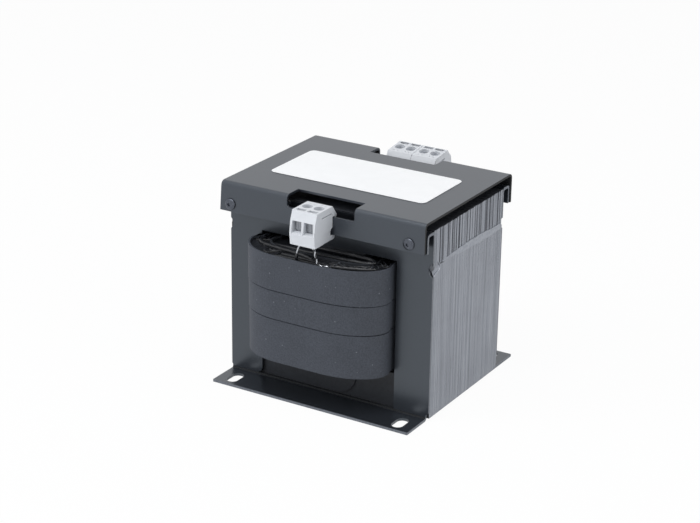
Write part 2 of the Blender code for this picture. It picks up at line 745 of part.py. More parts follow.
def add_coil_ring(name, start, end, low, high, material):
    """One layer of the coil between two depths of winding."""
    layer = add_object(name, ring(coil_outline(start), coil_outline(end), low, high), material)
    smooth(layer)


def former_outline(half_x, half_y, radius):
    """A rectangle with small round corners."""
    corners = [(-half_x, -half_y), (half_x, -half_y), (half_x, half_y), (-half_x, half_y)]
    return rounded_outline(corners, [radius] * 4, FORMER_CORNER_STEPS)


def build_coil(card, copper, barrier, wrap):
    """The former, the two windings with the barrier between them, and the wrap."""
    inside = former_outline(FORMER_INSIDE_X, FORMER_INSIDE_Y, GAP)
    outside = former_outline(FORMER_OUTSIDE_X - GAP, FORMER_OUTSIDE_Y - GAP, FORMER_WALL)
    add_object("coil_former", ring(inside, outside, FORMER_BOTTOM, FORMER_TOP), card)
    build_depth = LEG_INSIDE - COIL_RIGHT_WINDOW_GAP - FORMER_OUTSIDE_X
    step = GAP / build_depth
    wrap_start = 1 - WRAP_THICKNESS / build_depth
    barrier_start = INNER_WINDING_SHARE + step
    barrier_end = barrier_start + BARRIER_THICKNESS / build_depth
    low = WRAP_BOTTOM + WINDING_END_GAP / 2
    high = WRAP_TOP - WINDING_END_GAP / 2
    add_coil_ring("inner_winding", 0.0, INNER_WINDING_SHARE, low, high, copper)
    add_coil_ring("winding_barrier", barrier_start, barrier_end, WRAP_BOTTOM,
                  WRAP_TOP + GAP, barrier)
    add_coil_ring("outer_winding", barrier_end + step, wrap_start - step, low, high, copper)
    bands = (
        ("wrap_band_lower", WRAP_BOTTOM, WRAP_LOWER_SEAM),
        ("wrap_band_middle", WRAP_LOWER_SEAM + GAP, WRAP_UPPER_SEAM),
        ("wrap_band_upper", WRAP_UPPER_SEAM + GAP, WRAP_TOP),
    )
    for number, (name, bottom, top) in enumerate(bands):
        proud = number * WRAP_OVERLAP / build_depth
        add_coil_ring(name, wrap_start, 1 + proud, bottom, top, wrap)


def add_card(material):
    """The round-ended insulating card that hangs in front of the lower yoke."""
    half = CARD_WIDTH / 2
    top = FORMER_BOTTOM - GAP
    corners = [(CARD_X - half, CARD_BOTTOM), (CARD_X + half, CARD_BOTTOM),
               (CARD_X + half, top), (CARD_X - half, top)]
    outline = rounded_outline(corners, [CARD_ROUND, CARD_ROUND, 0, 0], CARD_STEPS)
    front = -(STACK_HALF + GAP + CARD_THICKNESS)
    add_object("yoke_card", prism(outline, "y", front, -(STACK_HALF + GAP)), material)


def housing_outline(pose):
    """Side outline of a terminal housing that grips the strip between two hooks."""
    seat = -GAP
    strip_back = COVER_SHEET + GAP
    hook_back = COVER_SHEET + HOOK_REACH
    hook_under = STRIP_HEIGHT + GAP
    recess = seat - REAR_RECESS_DEPTH
    nib_back = strip_back + LOWER_HOOK_REACH
    body = [
        (seat, BLOCK_TOP), (-BLOCK_TOP_DEPTH, BLOCK_TOP), (-BLOCK_KNEE_DEPTH, BLOCK_KNEE),
        (-BLOCK_FOOT_DEPTH, BLOCK_BOTTOM),
    ]
    grip = [
        (strip_back, BLOCK_BOTTOM), (nib_back, BLOCK_BOTTOM + LOWER_HOOK_REACH),
        (nib_back, LOWER_HOOK_RISE / 2), (strip_back, LOWER_HOOK_RISE), (strip_back, -GAP),
        (recess, -GAP), (recess, REAR_RECESS_TOP), (seat, REAR_RECESS_TOP + REAR_RECESS_SLOPE),
        (seat, hook_under), (strip_back, hook_under), (strip_back, hook_under - HOOK_DROP),
        (hook_back - HOOK_THICKNESS / 2, hook_under - HOOK_DROP),
        (hook_back, hook_under + HOOK_THICKNESS / 2),
    ]
    return body + [beside_strip(pose, y, z) for y, z in grip]


def beside_strip(pose, y, z):
    """A point that keeps its place on the strip, in the frame of a leaning housing."""
    tilt, out, lift = pose
    y += out
    z -= lift
    return (y * math.cos(tilt) - z * math.sin(tilt), y * math.sin(tilt) + z * math.cos(tilt))


def cell_outline():
    """Side outline of one pole's cell: wire entry, pocket for the shoe and probe slot."""
    pocket_front = -(SHOE_SKIRT_DEPTH + SHOE_RIB_HEIGHT + GAP)
    pocket_back = -(SHOE_SKIRT_DEPTH - SHOE_SHEET - GAP)
    pocket_top = SHOE_SKIRT_TOP + CLAMP_TRAVEL + 2 * GAP
    probe_back = -PROBE_SLOT_DEPTH
    probe_front = probe_back - PROBE_SLOT_WIDTH
    outside = -(BLOCK_KNEE_DEPTH + FUNNEL_DEPTH)
    above = BLOCK_TOP + OVERSHOOT
    return [
        (outside, CELL_BOTTOM), (-CELL_BACK, CELL_BOTTOM), (-CELL_BACK, CELL_TOP),
        (pocket_back, CELL_TOP), (pocket_back, pocket_top), (pocket_front, pocket_top),
        (pocket_front, CELL_TOP), (probe_back, CELL_TOP), (probe_back, above),
        (probe_front, above), (probe_front, CELL_TOP), (outside, CELL_TOP),
    ]


def funnel():
    """The splayed mouth of a wire entry, wider at the face than inside."""
    half = CELL_HALF - FUNNEL_INSET
    bottom = CELL_BOTTOM + FUNNEL_INSET
    shape = block((-half, -BLOCK_KNEE_DEPTH - FUNNEL_DEPTH, bottom),
                  (half, -BLOCK_KNEE_DEPTH + FUNNEL_DEPTH, CELL_TOP - FUNNEL_SILL))
    for corner in shape.verts:
        if corner.co.y < -BLOCK_KNEE_DEPTH:
            corner.co.x += math.copysign(FUNNEL_SPREAD * 2, corner.co.x)
            if corner.co.z < bottom + GAP:
                corner.co.z -= FUNNEL_SILL * 2
    return shape


def tail_slot(x):
    """The slot in the housing's floor for the tail of the cage."""
    half = TAIL_WIDTH / 2 + GAP
    back = -(TAIL_DEPTH - TAIL_THICKNESS / 2 - GAP)
    front = -(TAIL_DEPTH + TAIL_THICKNESS / 2 + GAP)
    return block((x - half, front, BLOCK_BOTTOM - GAP), (x + half, back, CELL_BOTTOM + GAP))


def marker_pips(x):
    """Two small pips beside each other in the top, behind the screw bore."""
    shape = bmesh.new()
    for side in (-1, 1):
        made = bmesh.ops.create_cube(shape, size=PIP_SIZE)
        place = Vector((x + side * PIP_SPREAD, -PIP_FROM_FACE, BLOCK_TOP + PIP_SIZE / 2 - PIP_DEPTH))
        bmesh.ops.translate(shape, verts=made["verts"], vec=place)
    return shape


def add_housing(name, empty, pose, material):
    """A moulded two-pole terminal housing."""
    half = BLOCK_WIDTH / 2
    housing = add_object(name, prism(housing_outline(pose), "x", -half, half), material, empty)
    for side, word in ((-1, "left"), (1, "right")):
        x = side * POLE_PITCH / 2
        cell = prism(cell_outline(), "x", x - CELL_HALF, x + CELL_HALF)
        combine(housing, f"{name}_cell_{word}", cell)
        combine(housing, f"{name}_mouth_{word}", funnel(), location=(x, 0, 0))
        bore = prism(circle((x, -SCREW_AXIS_DEPTH), BORE_RADIUS, BORE_STEPS), "z",
                     CELL_TOP - GAP, BLOCK_TOP + GAP)
        combine(housing, f"{name}_bore_{word}", bore)
        combine(housing, f"{name}_tail_{word}", tail_slot(x))
        combine(housing, f"{name}_pips_{word}", marker_pips(x))
        combine(housing, f"{name}_step_{word}", side_step(side))
        combine(housing, f"{name}_slit_{word}", side_slit(side))


def side_step(side):
    """The lower rear part of each side stands back a little."""
    inner = BLOCK_WIDTH / 2 - SIDE_STEP_DEPTH
    outer = BLOCK_WIDTH / 2 + SIDE_STEP_DEPTH
    ends = sorted((side * inner, side * outer))
    return block((ends[0], -SIDE_STEP_FROM_FACE, BLOCK_BOTTOM - GAP),
                 (ends[1], HOOK_REACH + COVER_SHEET + GAP, SIDE_STEP_TOP))


def side_slit(side):
    """A fine slit in each side, where the marker ledge ends."""
    inner = BLOCK_WIDTH / 2 - SIDE_SLIT_WIDTH
    outer = BLOCK_WIDTH / 2 + SIDE_SLIT_WIDTH
    ends = sorted((side * inner, side * outer))
    return block((ends[0], -SIDE_SLIT_FAR, SIDE_SLIT_Z),
                 (ends[1], -SIDE_SLIT_NEAR, SIDE_SLIT_Z + SIDE_SLIT_WIDTH))


def add_cage(name, empty, x, material):
    """The fixed clamp cage: floor, back and threaded top, with a tail for the lead."""
    back = -(CELL_BACK + CAGE_CLEARANCE)
    outline = [
        (-CAGE_FLOOR_DEPTH, CAGE_BOTTOM), (back, CAGE_BOTTOM), (back, CAGE_TOP),
        (-CAGE_FRONT_DEPTH, CAGE_TOP), (-CAGE_FRONT_DEPTH, CAGE_TOP - CAGE_TOP_WALL),
        (back - CAGE_WALL, CAGE_TOP - CAGE_TOP_WALL), (back - CAGE_WALL, CAGE_BOTTOM + CAGE_WALL),
        (-CAGE_FLOOR_DEPTH, CAGE_BOTTOM + CAGE_WALL),
    ]
    half = CELL_HALF - CAGE_CLEARANCE
    cage = add_object(name, prism(outline, "x", -half, half), material, empty, (x, 0, 0))
    thread = prism(circle((0, -SCREW_AXIS_DEPTH), SCREW_SHANK_RADIUS + GAP, BORE_STEPS), "z",
                   CAGE_TOP - CAGE_TOP_WALL - GAP, CAGE_TOP + GAP)
    combine(cage, f"{name}_thread", thread)
    tail = block((-TAIL_WIDTH / 2, -TAIL_DEPTH - TAIL_THICKNESS / 2,
                  BLOCK_BOTTOM - TAIL_BELOW_BLOCK),
                 (TAIL_WIDTH / 2, -TAIL_DEPTH + TAIL_THICKNESS / 2, CAGE_BOTTOM + CAGE_WALL / 2))
    combine(cage, f"{name}_tail", tail, "UNION")


def add_shoe(name, empty, x, material):
    """The sliding pressure shoe: a ribbed skirt behind the wire entry and a foot below."""
    half = SHOE_WIDTH / 2
    rib = SHOE_WIDTH / SHOE_RIBS
    front = -SHOE_SKIRT_DEPTH
    plan = [(half, front + SHOE_SHEET), (-half, front + SHOE_SHEET), (-half, front)]
    for number in range(SHOE_RIBS):
        left = -half + rib * number
        plan.extend([(left + rib * SHOE_RIB_FLANK, front - SHOE_RIB_HEIGHT),
                     (left + rib * (1 - SHOE_RIB_FLANK), front - SHOE_RIB_HEIGHT),
                     (left + rib, front)])
    shoe = add_object(name, prism(plan, "z", SHOE_BOTTOM, SHOE_SKIRT_TOP), material, empty,
                      (x, 0, 0))
    foot = block((-half + GAP, front + SHOE_SHEET / 2, SHOE_BOTTOM + SHOE_FOOT_INSET),
                 (half - GAP, -SHOE_BACK_DEPTH, SHOE_TOP))
    combine(shoe, f"{name}_foot", foot, "UNION")


def add_screw(name, empty, x, material):
    """A slotted clamp screw; its origin is on its own axis."""
    top = SCREW_SEAT + SCREW_HEAD_HEIGHT
    profile = [
        (0, top), (SCREW_HEAD_RADIUS - SCREW_HEAD_CHAMFER, top),
        (SCREW_HEAD_RADIUS, top - SCREW_HEAD_CHAMFER),
        (SCREW_HEAD_RADIUS, SCREW_SEAT), (SCREW_SHANK_RADIUS, SCREW_SEAT),
        (SCREW_SHANK_RADIUS, SCREW_TIP + SCREW_POINT),
        (SCREW_SHANK_RADIUS - SCREW_POINT, SCREW_TIP), (0, SCREW_TIP),
    ]
    screw = add_object(name, turned(profile, TURN_STEPS), material, empty,
                       (x, -SCREW_AXIS_DEPTH, 0))
    smooth(screw)
    half = SCREW_SLOT_WIDTH / 2
    slot = block((-SCREW_HEAD_RADIUS - GAP, -half, top - SCREW_SLOT_DEPTH),
                 (SCREW_HEAD_RADIUS + GAP, half, top + GAP))
    combine(screw, f"{name}_slot", slot)


def add_lead(name, empty, side, x, material):
    """A lead from the top of the coil up to the tail of one cage."""
    tail = Vector((x, -TAIL_DEPTH, BLOCK_BOTTOM - TAIL_BELOW_BLOCK - GAP))
    tail_x, tail_y, tail_z = empty.matrix_world @ tail
    outward = math.copysign(LEAD_SPREAD, tail_x)
    inward = tail_y - side * (COIL_HEAD - LEAD_LANDING_INSET)
    landing = WRAP_TOP - WINDING_END_GAP / 2 + GAP + LEAD_RADIUS
    drop = tail_z - landing
    stations = []
    for along, back, down in LEAD_STATIONS:
        place = (tail_x + outward * along, tail_y - inward * back, tail_z - drop * down)
        stations.append(Vector(place))
    add_tube(name, smooth_route(stations, LEAD_STEPS), LEAD_RADIUS, material)


def add_terminal(name, x, side, pose, materials):
    """One two-pole terminal: housing, cages, shoes, screws and leads."""
    tilt, out, lift = pose
    empty = bpy.data.objects.new(f"{name}_place", None)
    empty.location = (x, side * (COVER_HALF + out), FLANGE_BOTTOM + lift)
    empty.rotation_euler = (-tilt, 0, 0 if side < 0 else math.pi)
    bpy.context.collection.objects.link(empty)
    bpy.context.view_layer.update()
    add_housing(f"{name}_housing", empty, pose, materials["housing"])
    for number, hand in ((1, -1), (2, 1)):
        pole_x = hand * POLE_PITCH / 2
        add_cage(f"{name}_cage_{number}", empty, pole_x, materials["contact"])
        add_shoe(f"{name}_shoe_{number}", empty, pole_x, materials["shoe"])
        add_screw(f"{name}_screw_{number}", empty, pole_x, materials["screw"])
        add_lead(f"{name}_lead_{number}", empty, side, pole_x, materials["lead"])


def build():
    """Model the whole transformer."""
    clear_scene()
    steel = finish_of("varnished_core_steel", (0.23, 0.24, 0.26), 0.55, 0.6)
    weld_steel = finish_of("weld_steel", (0.30, 0.31, 0.33), 0.45, 0.9)
    bracket_steel = finish_of("black_bracket_steel", (0.055, 0.06, 0.068), 0.5, 0.4)
    cover_paint = finish_of("dark_cover_paint", (0.085, 0.092, 0.105), 0.45, 0.3)
    label_film = finish_of("white_label_film", (0.84, 0.86, 0.88), 0.5, 0.0)
    rivet_metal = finish_of("blackened_rivet", (0.06, 0.065, 0.07), 0.4, 0.8)
    card = finish_of("insulating_card", (0.03, 0.03, 0.033), 0.6, 0.0)
    copper = finish_of("varnished_copper_wire", (0.02, 0.018, 0.018), 0.25, 0.3)
    barrier = finish_of("barrier_film", (0.03, 0.03, 0.035), 0.4, 0.0)
    wrap = finish_of("crepe_wrap", (0.075, 0.08, 0.09), 0.8, 0.0)
    terminal = {
        "housing": finish_of("light_grey_polyamide", (0.72, 0.74, 0.77), 0.45, 0.0),
        "contact": finish_of("tinned_brass", (0.50, 0.51, 0.52), 0.35, 1.0),
        "shoe": finish_of("stainless_shoe", (0.40, 0.41, 0.43), 0.35, 1.0),
        "screw": finish_of("zinc_screw", (0.55, 0.56, 0.58), 0.3, 1.0),
        "lead": finish_of("tinned_lead", (0.45, 0.45, 0.46), 0.35, 0.8),
    }
    build_core(steel, weld_steel)
    add_bracket("front_bracket", bracket_steel, 0)
    add_bracket("rear_bracket", bracket_steel, math.pi)
    build_cover(cover_paint, label_film, rivet_metal)
    build_coil(card, copper, barrier, wrap)
    add_card(card)
    add_terminal("front_terminal", FRONT_BLOCK_X, -1, (0, 0, 0), terminal)
    leaning = (REAR_TILT, REAR_OUT, REAR_LIFT)
    for number, hand in ((1, -1), (2, 1)):
        x = REAR_BLOCK_X + hand * REAR_BLOCK_PITCH / 2
        add_terminal(f"rear_terminal_{number}", x, 1, leaning, terminal)


build()
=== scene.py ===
"""Looks of the open control transformer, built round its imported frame.

The file is laid out as an add-on and run as a script. Every size is in metres.
"""

import json
import math
import random

import bpy
from bpy.props import FloatProperty, FloatVectorProperty, IntProperty, PointerProperty
from mathutils import Euler, Matrix, Vector

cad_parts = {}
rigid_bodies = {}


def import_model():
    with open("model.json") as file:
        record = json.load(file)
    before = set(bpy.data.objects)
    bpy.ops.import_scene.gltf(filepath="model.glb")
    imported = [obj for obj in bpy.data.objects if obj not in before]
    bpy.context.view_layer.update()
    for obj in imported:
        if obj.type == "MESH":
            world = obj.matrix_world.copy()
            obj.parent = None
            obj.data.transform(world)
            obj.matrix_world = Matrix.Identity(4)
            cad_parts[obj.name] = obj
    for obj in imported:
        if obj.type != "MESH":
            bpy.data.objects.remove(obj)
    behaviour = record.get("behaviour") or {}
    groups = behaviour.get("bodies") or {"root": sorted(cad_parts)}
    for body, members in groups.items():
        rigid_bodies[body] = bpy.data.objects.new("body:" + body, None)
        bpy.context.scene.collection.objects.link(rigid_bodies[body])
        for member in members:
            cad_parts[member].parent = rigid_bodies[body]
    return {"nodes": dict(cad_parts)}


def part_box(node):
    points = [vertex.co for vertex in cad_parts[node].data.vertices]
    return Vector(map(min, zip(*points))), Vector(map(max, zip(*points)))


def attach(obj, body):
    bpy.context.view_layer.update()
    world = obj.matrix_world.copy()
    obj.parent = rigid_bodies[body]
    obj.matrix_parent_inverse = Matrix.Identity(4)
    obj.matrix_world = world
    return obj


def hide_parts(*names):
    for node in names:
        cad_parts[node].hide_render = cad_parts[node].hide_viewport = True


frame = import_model()

bl_info = {
    "name": "Control Transformer",
    "version": (1, 0, 0),
    "blender": (4, 5, 0),
    "location": "View3D > Sidebar > Transformer",
    "description": "Dresses the packed frame of an open control transformer",
    "category": "Object",
}

# Places read from the frame
CORE_LOW, CORE_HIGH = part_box("e_core_stack")
BAR_LOW, BAR_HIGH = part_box("i_core_stack")
WINDING_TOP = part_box("outer_winding")[1].z
COVER_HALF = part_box("top_cover")[1].y
FLANGE_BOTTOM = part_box("top_cover")[0].z

# Where each terminal stands: middle along the cover, side, lean in degrees, stand-off and lift
TERMINALS = {
    "front_terminal": (0.0001, -1, 0.0, 0.0, 0.0),
    "rear_terminal_1": (-0.00805, 1, 7.2, 0.00065, 0.0004),
    "rear_terminal_2": (0.00845, 1, 7.2, 0.00065, 0.0004),
}
POLES = (-0.00375, 0.00375)

# Sections of the core that the coil covers
YOKE_TOP = 0.023525
LEG_INSIDE = 0.04445
TONGUE_HALF = 0.022225

# Upper and lower edge of the weld band, as places along the stack: y, upper z, lower z
WELD_EDGES = (
    (-0.0310, 0.0938, 0.0932), (-0.0265, 0.0943, 0.0926), (-0.0202, 0.0947, 0.0918),
    (-0.0140, 0.0949, 0.0908), (-0.0085, 0.0952, 0.0902), (-0.0030, 0.0953, 0.0899),
    (0.0034, 0.0955, 0.0896), (0.0080, 0.0953, 0.0893), (0.0127, 0.0954, 0.0887),
    (0.0200, 0.0950, 0.0890), (0.0270, 0.0944, 0.0893), (0.0335, 0.0942, 0.0896),
    (0.0395, 0.0943, 0.0898),
)

# Middle and height of the plain strip that is drawn out to those edges
WELD_MIDDLE, WELD_STRIP = 0.0926, 0.0056

# The bright rim that the weld leaves round its crater: y and z on the stack's right side
CRATER_RIM = (
    (-0.0362, 0.0947), (-0.0350, 0.0937), (-0.0340, 0.0920),
    (-0.0342, 0.0905), (-0.0357, 0.0894), (-0.0377, 0.0887), (-0.0397, 0.0880),
    (-0.0410, 0.0870),
)

# Ways of a terminal's two leads down to the coil, in millimetres outwards and inwards, with the
# share of the drop: a single lead that enters a sleeve, and a twisted pair
LEAD_WAYS = (
    ((0, 0, 0), (1.15, 0, 0.12), (2.45, 0, 0.48), (3.0, 0.3, 0.80), (3.5, 1.3, 1.0),
     (5.0, 2.8, 1.0)),
    ((0, 0, 0), (1.05, 0, 0.10), (1.7, 0, 0.33), (2.4, 0, 0.66), (3.1, 0, 0.93),
     (4.4, 0.1, 1.0), (6.4, 0.3, 1.0), (8.6, 0.7, 1.0)),
)

# Sleeved cords that lie on the windings, in millimetres: x, y and height above the windings
SLEEVES = (
    ((-43.0, -46.2, 0.3), (-38.5, -52.0, 0.6), (-28.0, -55.0, 0.8), (-14.6, -56.2, 0.8),
     (-5.0, -57.8, 0.6), (3.0, -60.5, 0.0)),
    ((-34.0, -49.0, 0.2), (-22.0, -50.9, 0.6), (-8.0, -51.6, 0.7), (6.1, -50.6, 0.8),
     (13.1, -50.8, 0.8), (22.3, -50.1, 0.9), (29.8, -49.2, 1.1), (32.6, -47.2, 1.4),
     (30.6, -45.2, 1.7), (22.0, -44.7, 1.9), (12.0, -44.5, 1.9), (0.0, -44.4, 1.7),
     (-12.0, -44.6, 1.2)),
    ((8.0, -62.6, 0.0), (16.0, -62.2, 0.5), (26.0, -59.8, 0.7), (34.0, -55.6, 0.5),
     (38.0, -51.5, 0.0)),
)

# The sloping face of a housing, in the terminal's own frame: how far out its top edge lies, how
# much further out its foot lies, and the heights of its top edge, its foot and its fold
FACE_OUT, FACE_RUN = 0.0157, 0.0035
FACE_TOP, FACE_FOOT, FACE_FOLD = 0.0168, 0.0040, 0.01145
# Height above the foot at which the bow of that face has its full depth
BOW_RISE = 0.0073

# In the same frame: the back of a shoe's skirt, and where the tail of a cage ends
SKIRT_BACK = -0.0114
TAIL_END = (-0.0142, -0.0041)

# How far from the middle of the core a lead lies on the coil
LEAD_LANDING = 0.0659

# Finishes of two tones: what the surface is, its dark and light tone, the size of the clouds in
# metres, and where they stand out, the strength and depth in metres of that relief
TWO_TONES = {
    # Sheared mild steel with thin paint: paler than the faces, with short shear marks
    "sheared_steel_edge": ({"Metallic": 0.6, "Roughness": 0.42}, "#3f4349", "#868b94", 0.0012),
    # Black insulating varnish over wire and paper: glossy, lumpy and uneven
    "black_varnish": ({"Roughness": 0.3, "IOR": 1.5}, "#0c0d10", "#24262b", 0.003, 0.7, 0.0006),
    # Black fibre card: matt, with a faint fleck of fibres about 1 mm long
    "black_fibre_card": ({"Roughness": 0.6, "IOR": 1.45}, "#1b1d21", "#303339", 0.001),
    # Crepe paper soaked in varnish: black, wet-looking, pale where it is torn
    "glossy_black_paper": ({"Roughness": 0.2, "IOR": 1.45}, "#14161a", "#787c84", 0.0012),
    # Thick varnish on the core's flat faces, half matt and a little cloudy; its dark tone is
    # partly painted shade of the hollows under the coil and cover
    "dark_core_varnish": ({"Roughness": 0.55, "IOR": 1.45}, "#1d1f23", "#2f3238", 0.002),
    # Painted shade in the fold of the foot and on the window's sill: dark and matt paint
    "dull_fold_paint": ({"Roughness": 0.8, "IOR": 1.45}, "#15171a", "#1f2226", 0.003),
    # Thin paint on the cover's underside, which hardly any light reaches: near black
    "unlit_cover_paint": ({"Roughness": 0.7, "IOR": 1.45}, "#0e0f11", "#17181b", 0.003),
    # Fused steel of the weld blob, its dull dark grey painted shade of the crater's hollow
    "scaled_weld": ({"Roughness": 0.5, "IOR": 1.45}, "#2c2f34", "#5c6067", 0.0022),
}

# Bare and plated metals, whose clear reflection is broken by fine wear: dark and light tone,
# roughness and size of the wear in metres
METALS = {
    # Fused steel: dull silver with a wavy skin
    "weld_metal": ("#7c8088", "#adb1b9", 0.48, 0.0016),
    # Phosphated steel rivet: dark and half bright
    "blackened_rivet": ("#3c4048", "#6d717a", 0.34, 0.0009),
    # Tinned brass: pale and soft
    "tinned_brass": ("#a5a8ad", "#c5c8cc", 0.34, 0.0012),
    # Rolled stainless steel: greyer, with a brighter reflection
    "stainless_shoe": ("#8f9297", "#b3b6bb", 0.3, 0.0008),
    # Zinc-plated steel: bright and slightly blue
    "zinc_screw": ("#a9adb4", "#c9cdd4", 0.28, 0.0008),
    # Tinned copper strands: bright with dark flux marks
    "tinned_strand": ("#8a8d94", "#d5d8dd", 0.25, 0.0009),
}


def linear(code):
    """Turn an sRGB hex colour into the linear values that Blender uses."""
    values = []
    for start in (1, 3, 5):
        value = int(code[start:start + 2], 16) / 255
        values.append(value / 12.92 if value <= 0.04045 else ((value + 0.055) / 1.055) ** 2.4)
    return (*values, 1.0)


class TransformerSizes(bpy.types.PropertyGroup):
    """Sizes that a user may change."""

    sheet: FloatProperty(
        name="Core sheet", description="Thickness of one core sheet",
        default=0.0005, min=0.0003, max=0.0010, unit="LENGTH")
    sheet_gap: FloatProperty(
        name="Gap between sheets", description="Clear gap between two core sheets",
        default=0.000015, min=0.00001, max=0.0002, unit="LENGTH")
    bar_scatter: FloatProperty(
        name="Scatter of the bars", description="How unevenly the top bars are stacked",
        default=0.00026, min=0.0, max=0.0003, unit="LENGTH")
    leg_scatter: FloatProperty(
        name="Scatter of the legs", description="How unevenly the lower sheets are stacked",
        default=0.00003, min=0.0, max=0.0002, unit="LENGTH")
    sheet_edge: FloatProperty(
        name="Folded sheet edge", description="Rounding of the brackets' and cover's edges",
        default=0.00018, min=0.00005, max=0.0004, unit="LENGTH")
    moulded_edge: FloatProperty(
        name="Moulded edge", description="Rounding of the terminal housings' edges",
        default=0.00016, min=0.00005, max=0.0003, unit="LENGTH")
    turn_radius: FloatProperty(
        name="Winding turn", description="Radius of the turns that show on top of the coil",
        default=0.0008, min=0.0004, max=0.0012, unit="LENGTH")
    turns: IntProperty(
        name="Turns", description="How many turns show on top of the coil",
        default=5, min=3, max=12)
    sleeve_radius: FloatProperty(
        name="Sleeve", description="Radius of the sleeved cords on top of the coil",
        default=0.0012, min=0.0006, max=0.0016, unit="LENGTH")
    strand_radius: FloatProperty(
        name="Lead strand", description="Radius of one strand of a twisted lead",
        default=0.00042, min=0.0002, max=0.0006, unit="LENGTH")


class TransformerColours(bpy.types.PropertyGroup):
    """Colours that a user may change."""

    cover: FloatVectorProperty(
        name="Cover paint", description="Satin paint of the cover", subtype="COLOR", size=4,
        default=linear("#25282e"), min=0.0, max=1.0)
    bracket: FloatVectorProperty(
        name="Bracket paint", description="Satin paint of the brackets", subtype="COLOR", size=4,
        default=linear("#22252a"), min=0.0, max=1.0)
    core_light: FloatVectorProperty(
        name="Core, light", description="Light sheets of the core", subtype="COLOR", size=4,
        default=linear("#a2a6ae"), min=0.0, max=1.0)
    core_dark: FloatVectorProperty(
        name="Core, dark", description="Dark sheets of the core", subtype="COLOR", size=4,
        default=linear("#767a82"), min=0.0, max=1.0)
    wrap: FloatVectorProperty(
        name="Coil wrap", description="Varnished cloth tape round the coil", subtype="COLOR",
        size=4, default=linear("#3f434b"), min=0.0, max=1.0)
    housing: FloatVectorProperty(
        name="Terminal housing", description="Moulded polyamide", subtype="COLOR", size=4,
        default=linear("#d5d8dd"), min=0.0, max=1.0)
    label: FloatVectorProperty(
        name="Label", description="White label film", subtype="COLOR", size=4,
        default=linear("#fafbfc"), min=0.0, max=1.0)


def sizes():
    """The sizes that the scene holds."""
    return bpy.context.scene.transformer_sizes


def colours():
    """The colours that the scene holds."""
    return bpy.context.scene.transformer_colours


# Work on objects


def deselect():
    """Leave nothing selected, because an operator acts on all that is."""
    if bpy.context.object and bpy.context.object.mode != "OBJECT":
        bpy.ops.object.mode_set(mode="OBJECT")
    for item in bpy.context.scene.objects:
        item.select_set(False)


def pick(item):
    """Make one object the only selected and active one."""
    deselect()
    item.hide_viewport = False
    item.select_set(True)
    bpy.context.view_layer.objects.active = item


def named(name):
    """The object that an operator has just added, under its own name."""
    item = bpy.context.object
    item.name = name
    item.data.name = name
    return item


def settle(item):
    """Put the object's place, turn and size into its mesh."""
    pick(item)
    bpy.ops.object.transform_apply(location=True, rotation=True, scale=True)


def edit_all(item):
    """Enter edit mode with everything selected."""
    pick(item)
    bpy.ops.object.mode_set(mode="EDIT")
    bpy.ops.mesh.select_all(action="SELECT")


def edit_where(item, kind, test):
    """Enter edit mode with only the vertices or edges that pass a test by place."""
    pick(item)
    mesh = item.data
    bpy.context.tool_settings.mesh_select_mode = (kind == "VERT", kind == "EDGE", False)
    for part in (mesh.vertices, mesh.edges, mesh.polygons):
        part.foreach_set("select", [False] * len(part))
    if kind == "VERT":
        for corner in mesh.vertices:
            corner.select = test(corner.co)
    else:
        for edge in mesh.edges:
            edge.select = test(*[mesh.vertices[index].co for index in edge.vertices])
    bpy.ops.object.mode_set(mode="EDIT")


def leave_edit():
    """Back to object mode."""
    bpy.ops.object.mode_set(mode="OBJECT")


def face_out(item):
    """Point every face outwards."""
    edit_all(item)
    bpy.ops.mesh.remove_doubles(threshold=1e-6)
    bpy.ops.mesh.normals_make_consistent(inside=False)
    leave_edit()


def apply_step(item, kind, **settings):
    """Add a modifier, set it up and apply it."""
    pick(item)
    step = item.modifiers.new("step", kind)
    for name, value in settings.items():
        setattr(step, name, value)
    bpy.ops.object.modifier_apply(modifier=step.name)


def soften(item, width, segments=2, degrees=35):
    """Round the real edges a little, so that they catch the light, and keep flat faces flat."""
    apply_step(item, "BEVEL", width=width, segments=segments, limit_method="ANGLE",
               angle_limit=math.radians(degrees), use_clamp_overlap=True)
    shade(item, 45)
    apply_step(item, "WEIGHTED_NORMAL", keep_sharp=True)


def shade(item, degrees=35):
    """Shade round faces smooth and keep edges sharp."""
    pick(item)
    bpy.ops.object.shade_smooth_by_angle(angle=math.radians(degrees))


def shift_where(item, test, move):
    """Move the vertices that pass a test by place."""
    edit_where(item, "VERT", test)
    bpy.ops.transform.translate(value=move)
    leave_edit()


def box_cutter(low, high):
    """A block between two corners, to cut with."""
    deselect()
    bpy.ops.mesh.primitive_cube_add(size=1, location=[(a + b) / 2 for a, b in zip(low, high)])
    item = named("box_cutter")
    item.scale = [b - a for a, b in zip(low, high)]
    settle(item)
    return item


def ball(name, place, radii, segments, rings):
    """A round body with its own radius along each axis."""
    deselect()
    bpy.ops.mesh.primitive_uv_sphere_add(segments=segments, ring_count=rings, radius=1,
                                         location=place)
    item = named(name)
    item.scale = radii
    settle(item)
    return item


def swell(item, name, size, strength, level=0.5, **settings):
    """Push a skin in and out in soft clouds of a size."""
    texture = bpy.data.textures.get(name) or bpy.data.textures.new(name, "CLOUDS")
    texture.noise_scale = size
    apply_step(item, "DISPLACE", texture=texture, strength=strength, mid_level=level,
               texture_coords="LOCAL", **settings)


def carve(item, tool):
    """Cut one object out of another and remove the cutter."""
    apply_step(item, "BOOLEAN", operation="DIFFERENCE", solver="EXACT", object=tool)
    bpy.data.objects.remove(tool, do_unlink=True)


def copied(item, place):
    """A copy with its own mesh, moved by place."""
    pick(item)
    bpy.ops.object.duplicate(linked=False)
    bpy.ops.transform.translate(value=place)
    return bpy.context.object


def joined(name, items):
    """Several objects as one."""
    deselect()
    for item in items:
        item.select_set(True)
    bpy.context.view_layer.objects.active = items[0]
    bpy.ops.object.join()
    return named(name)


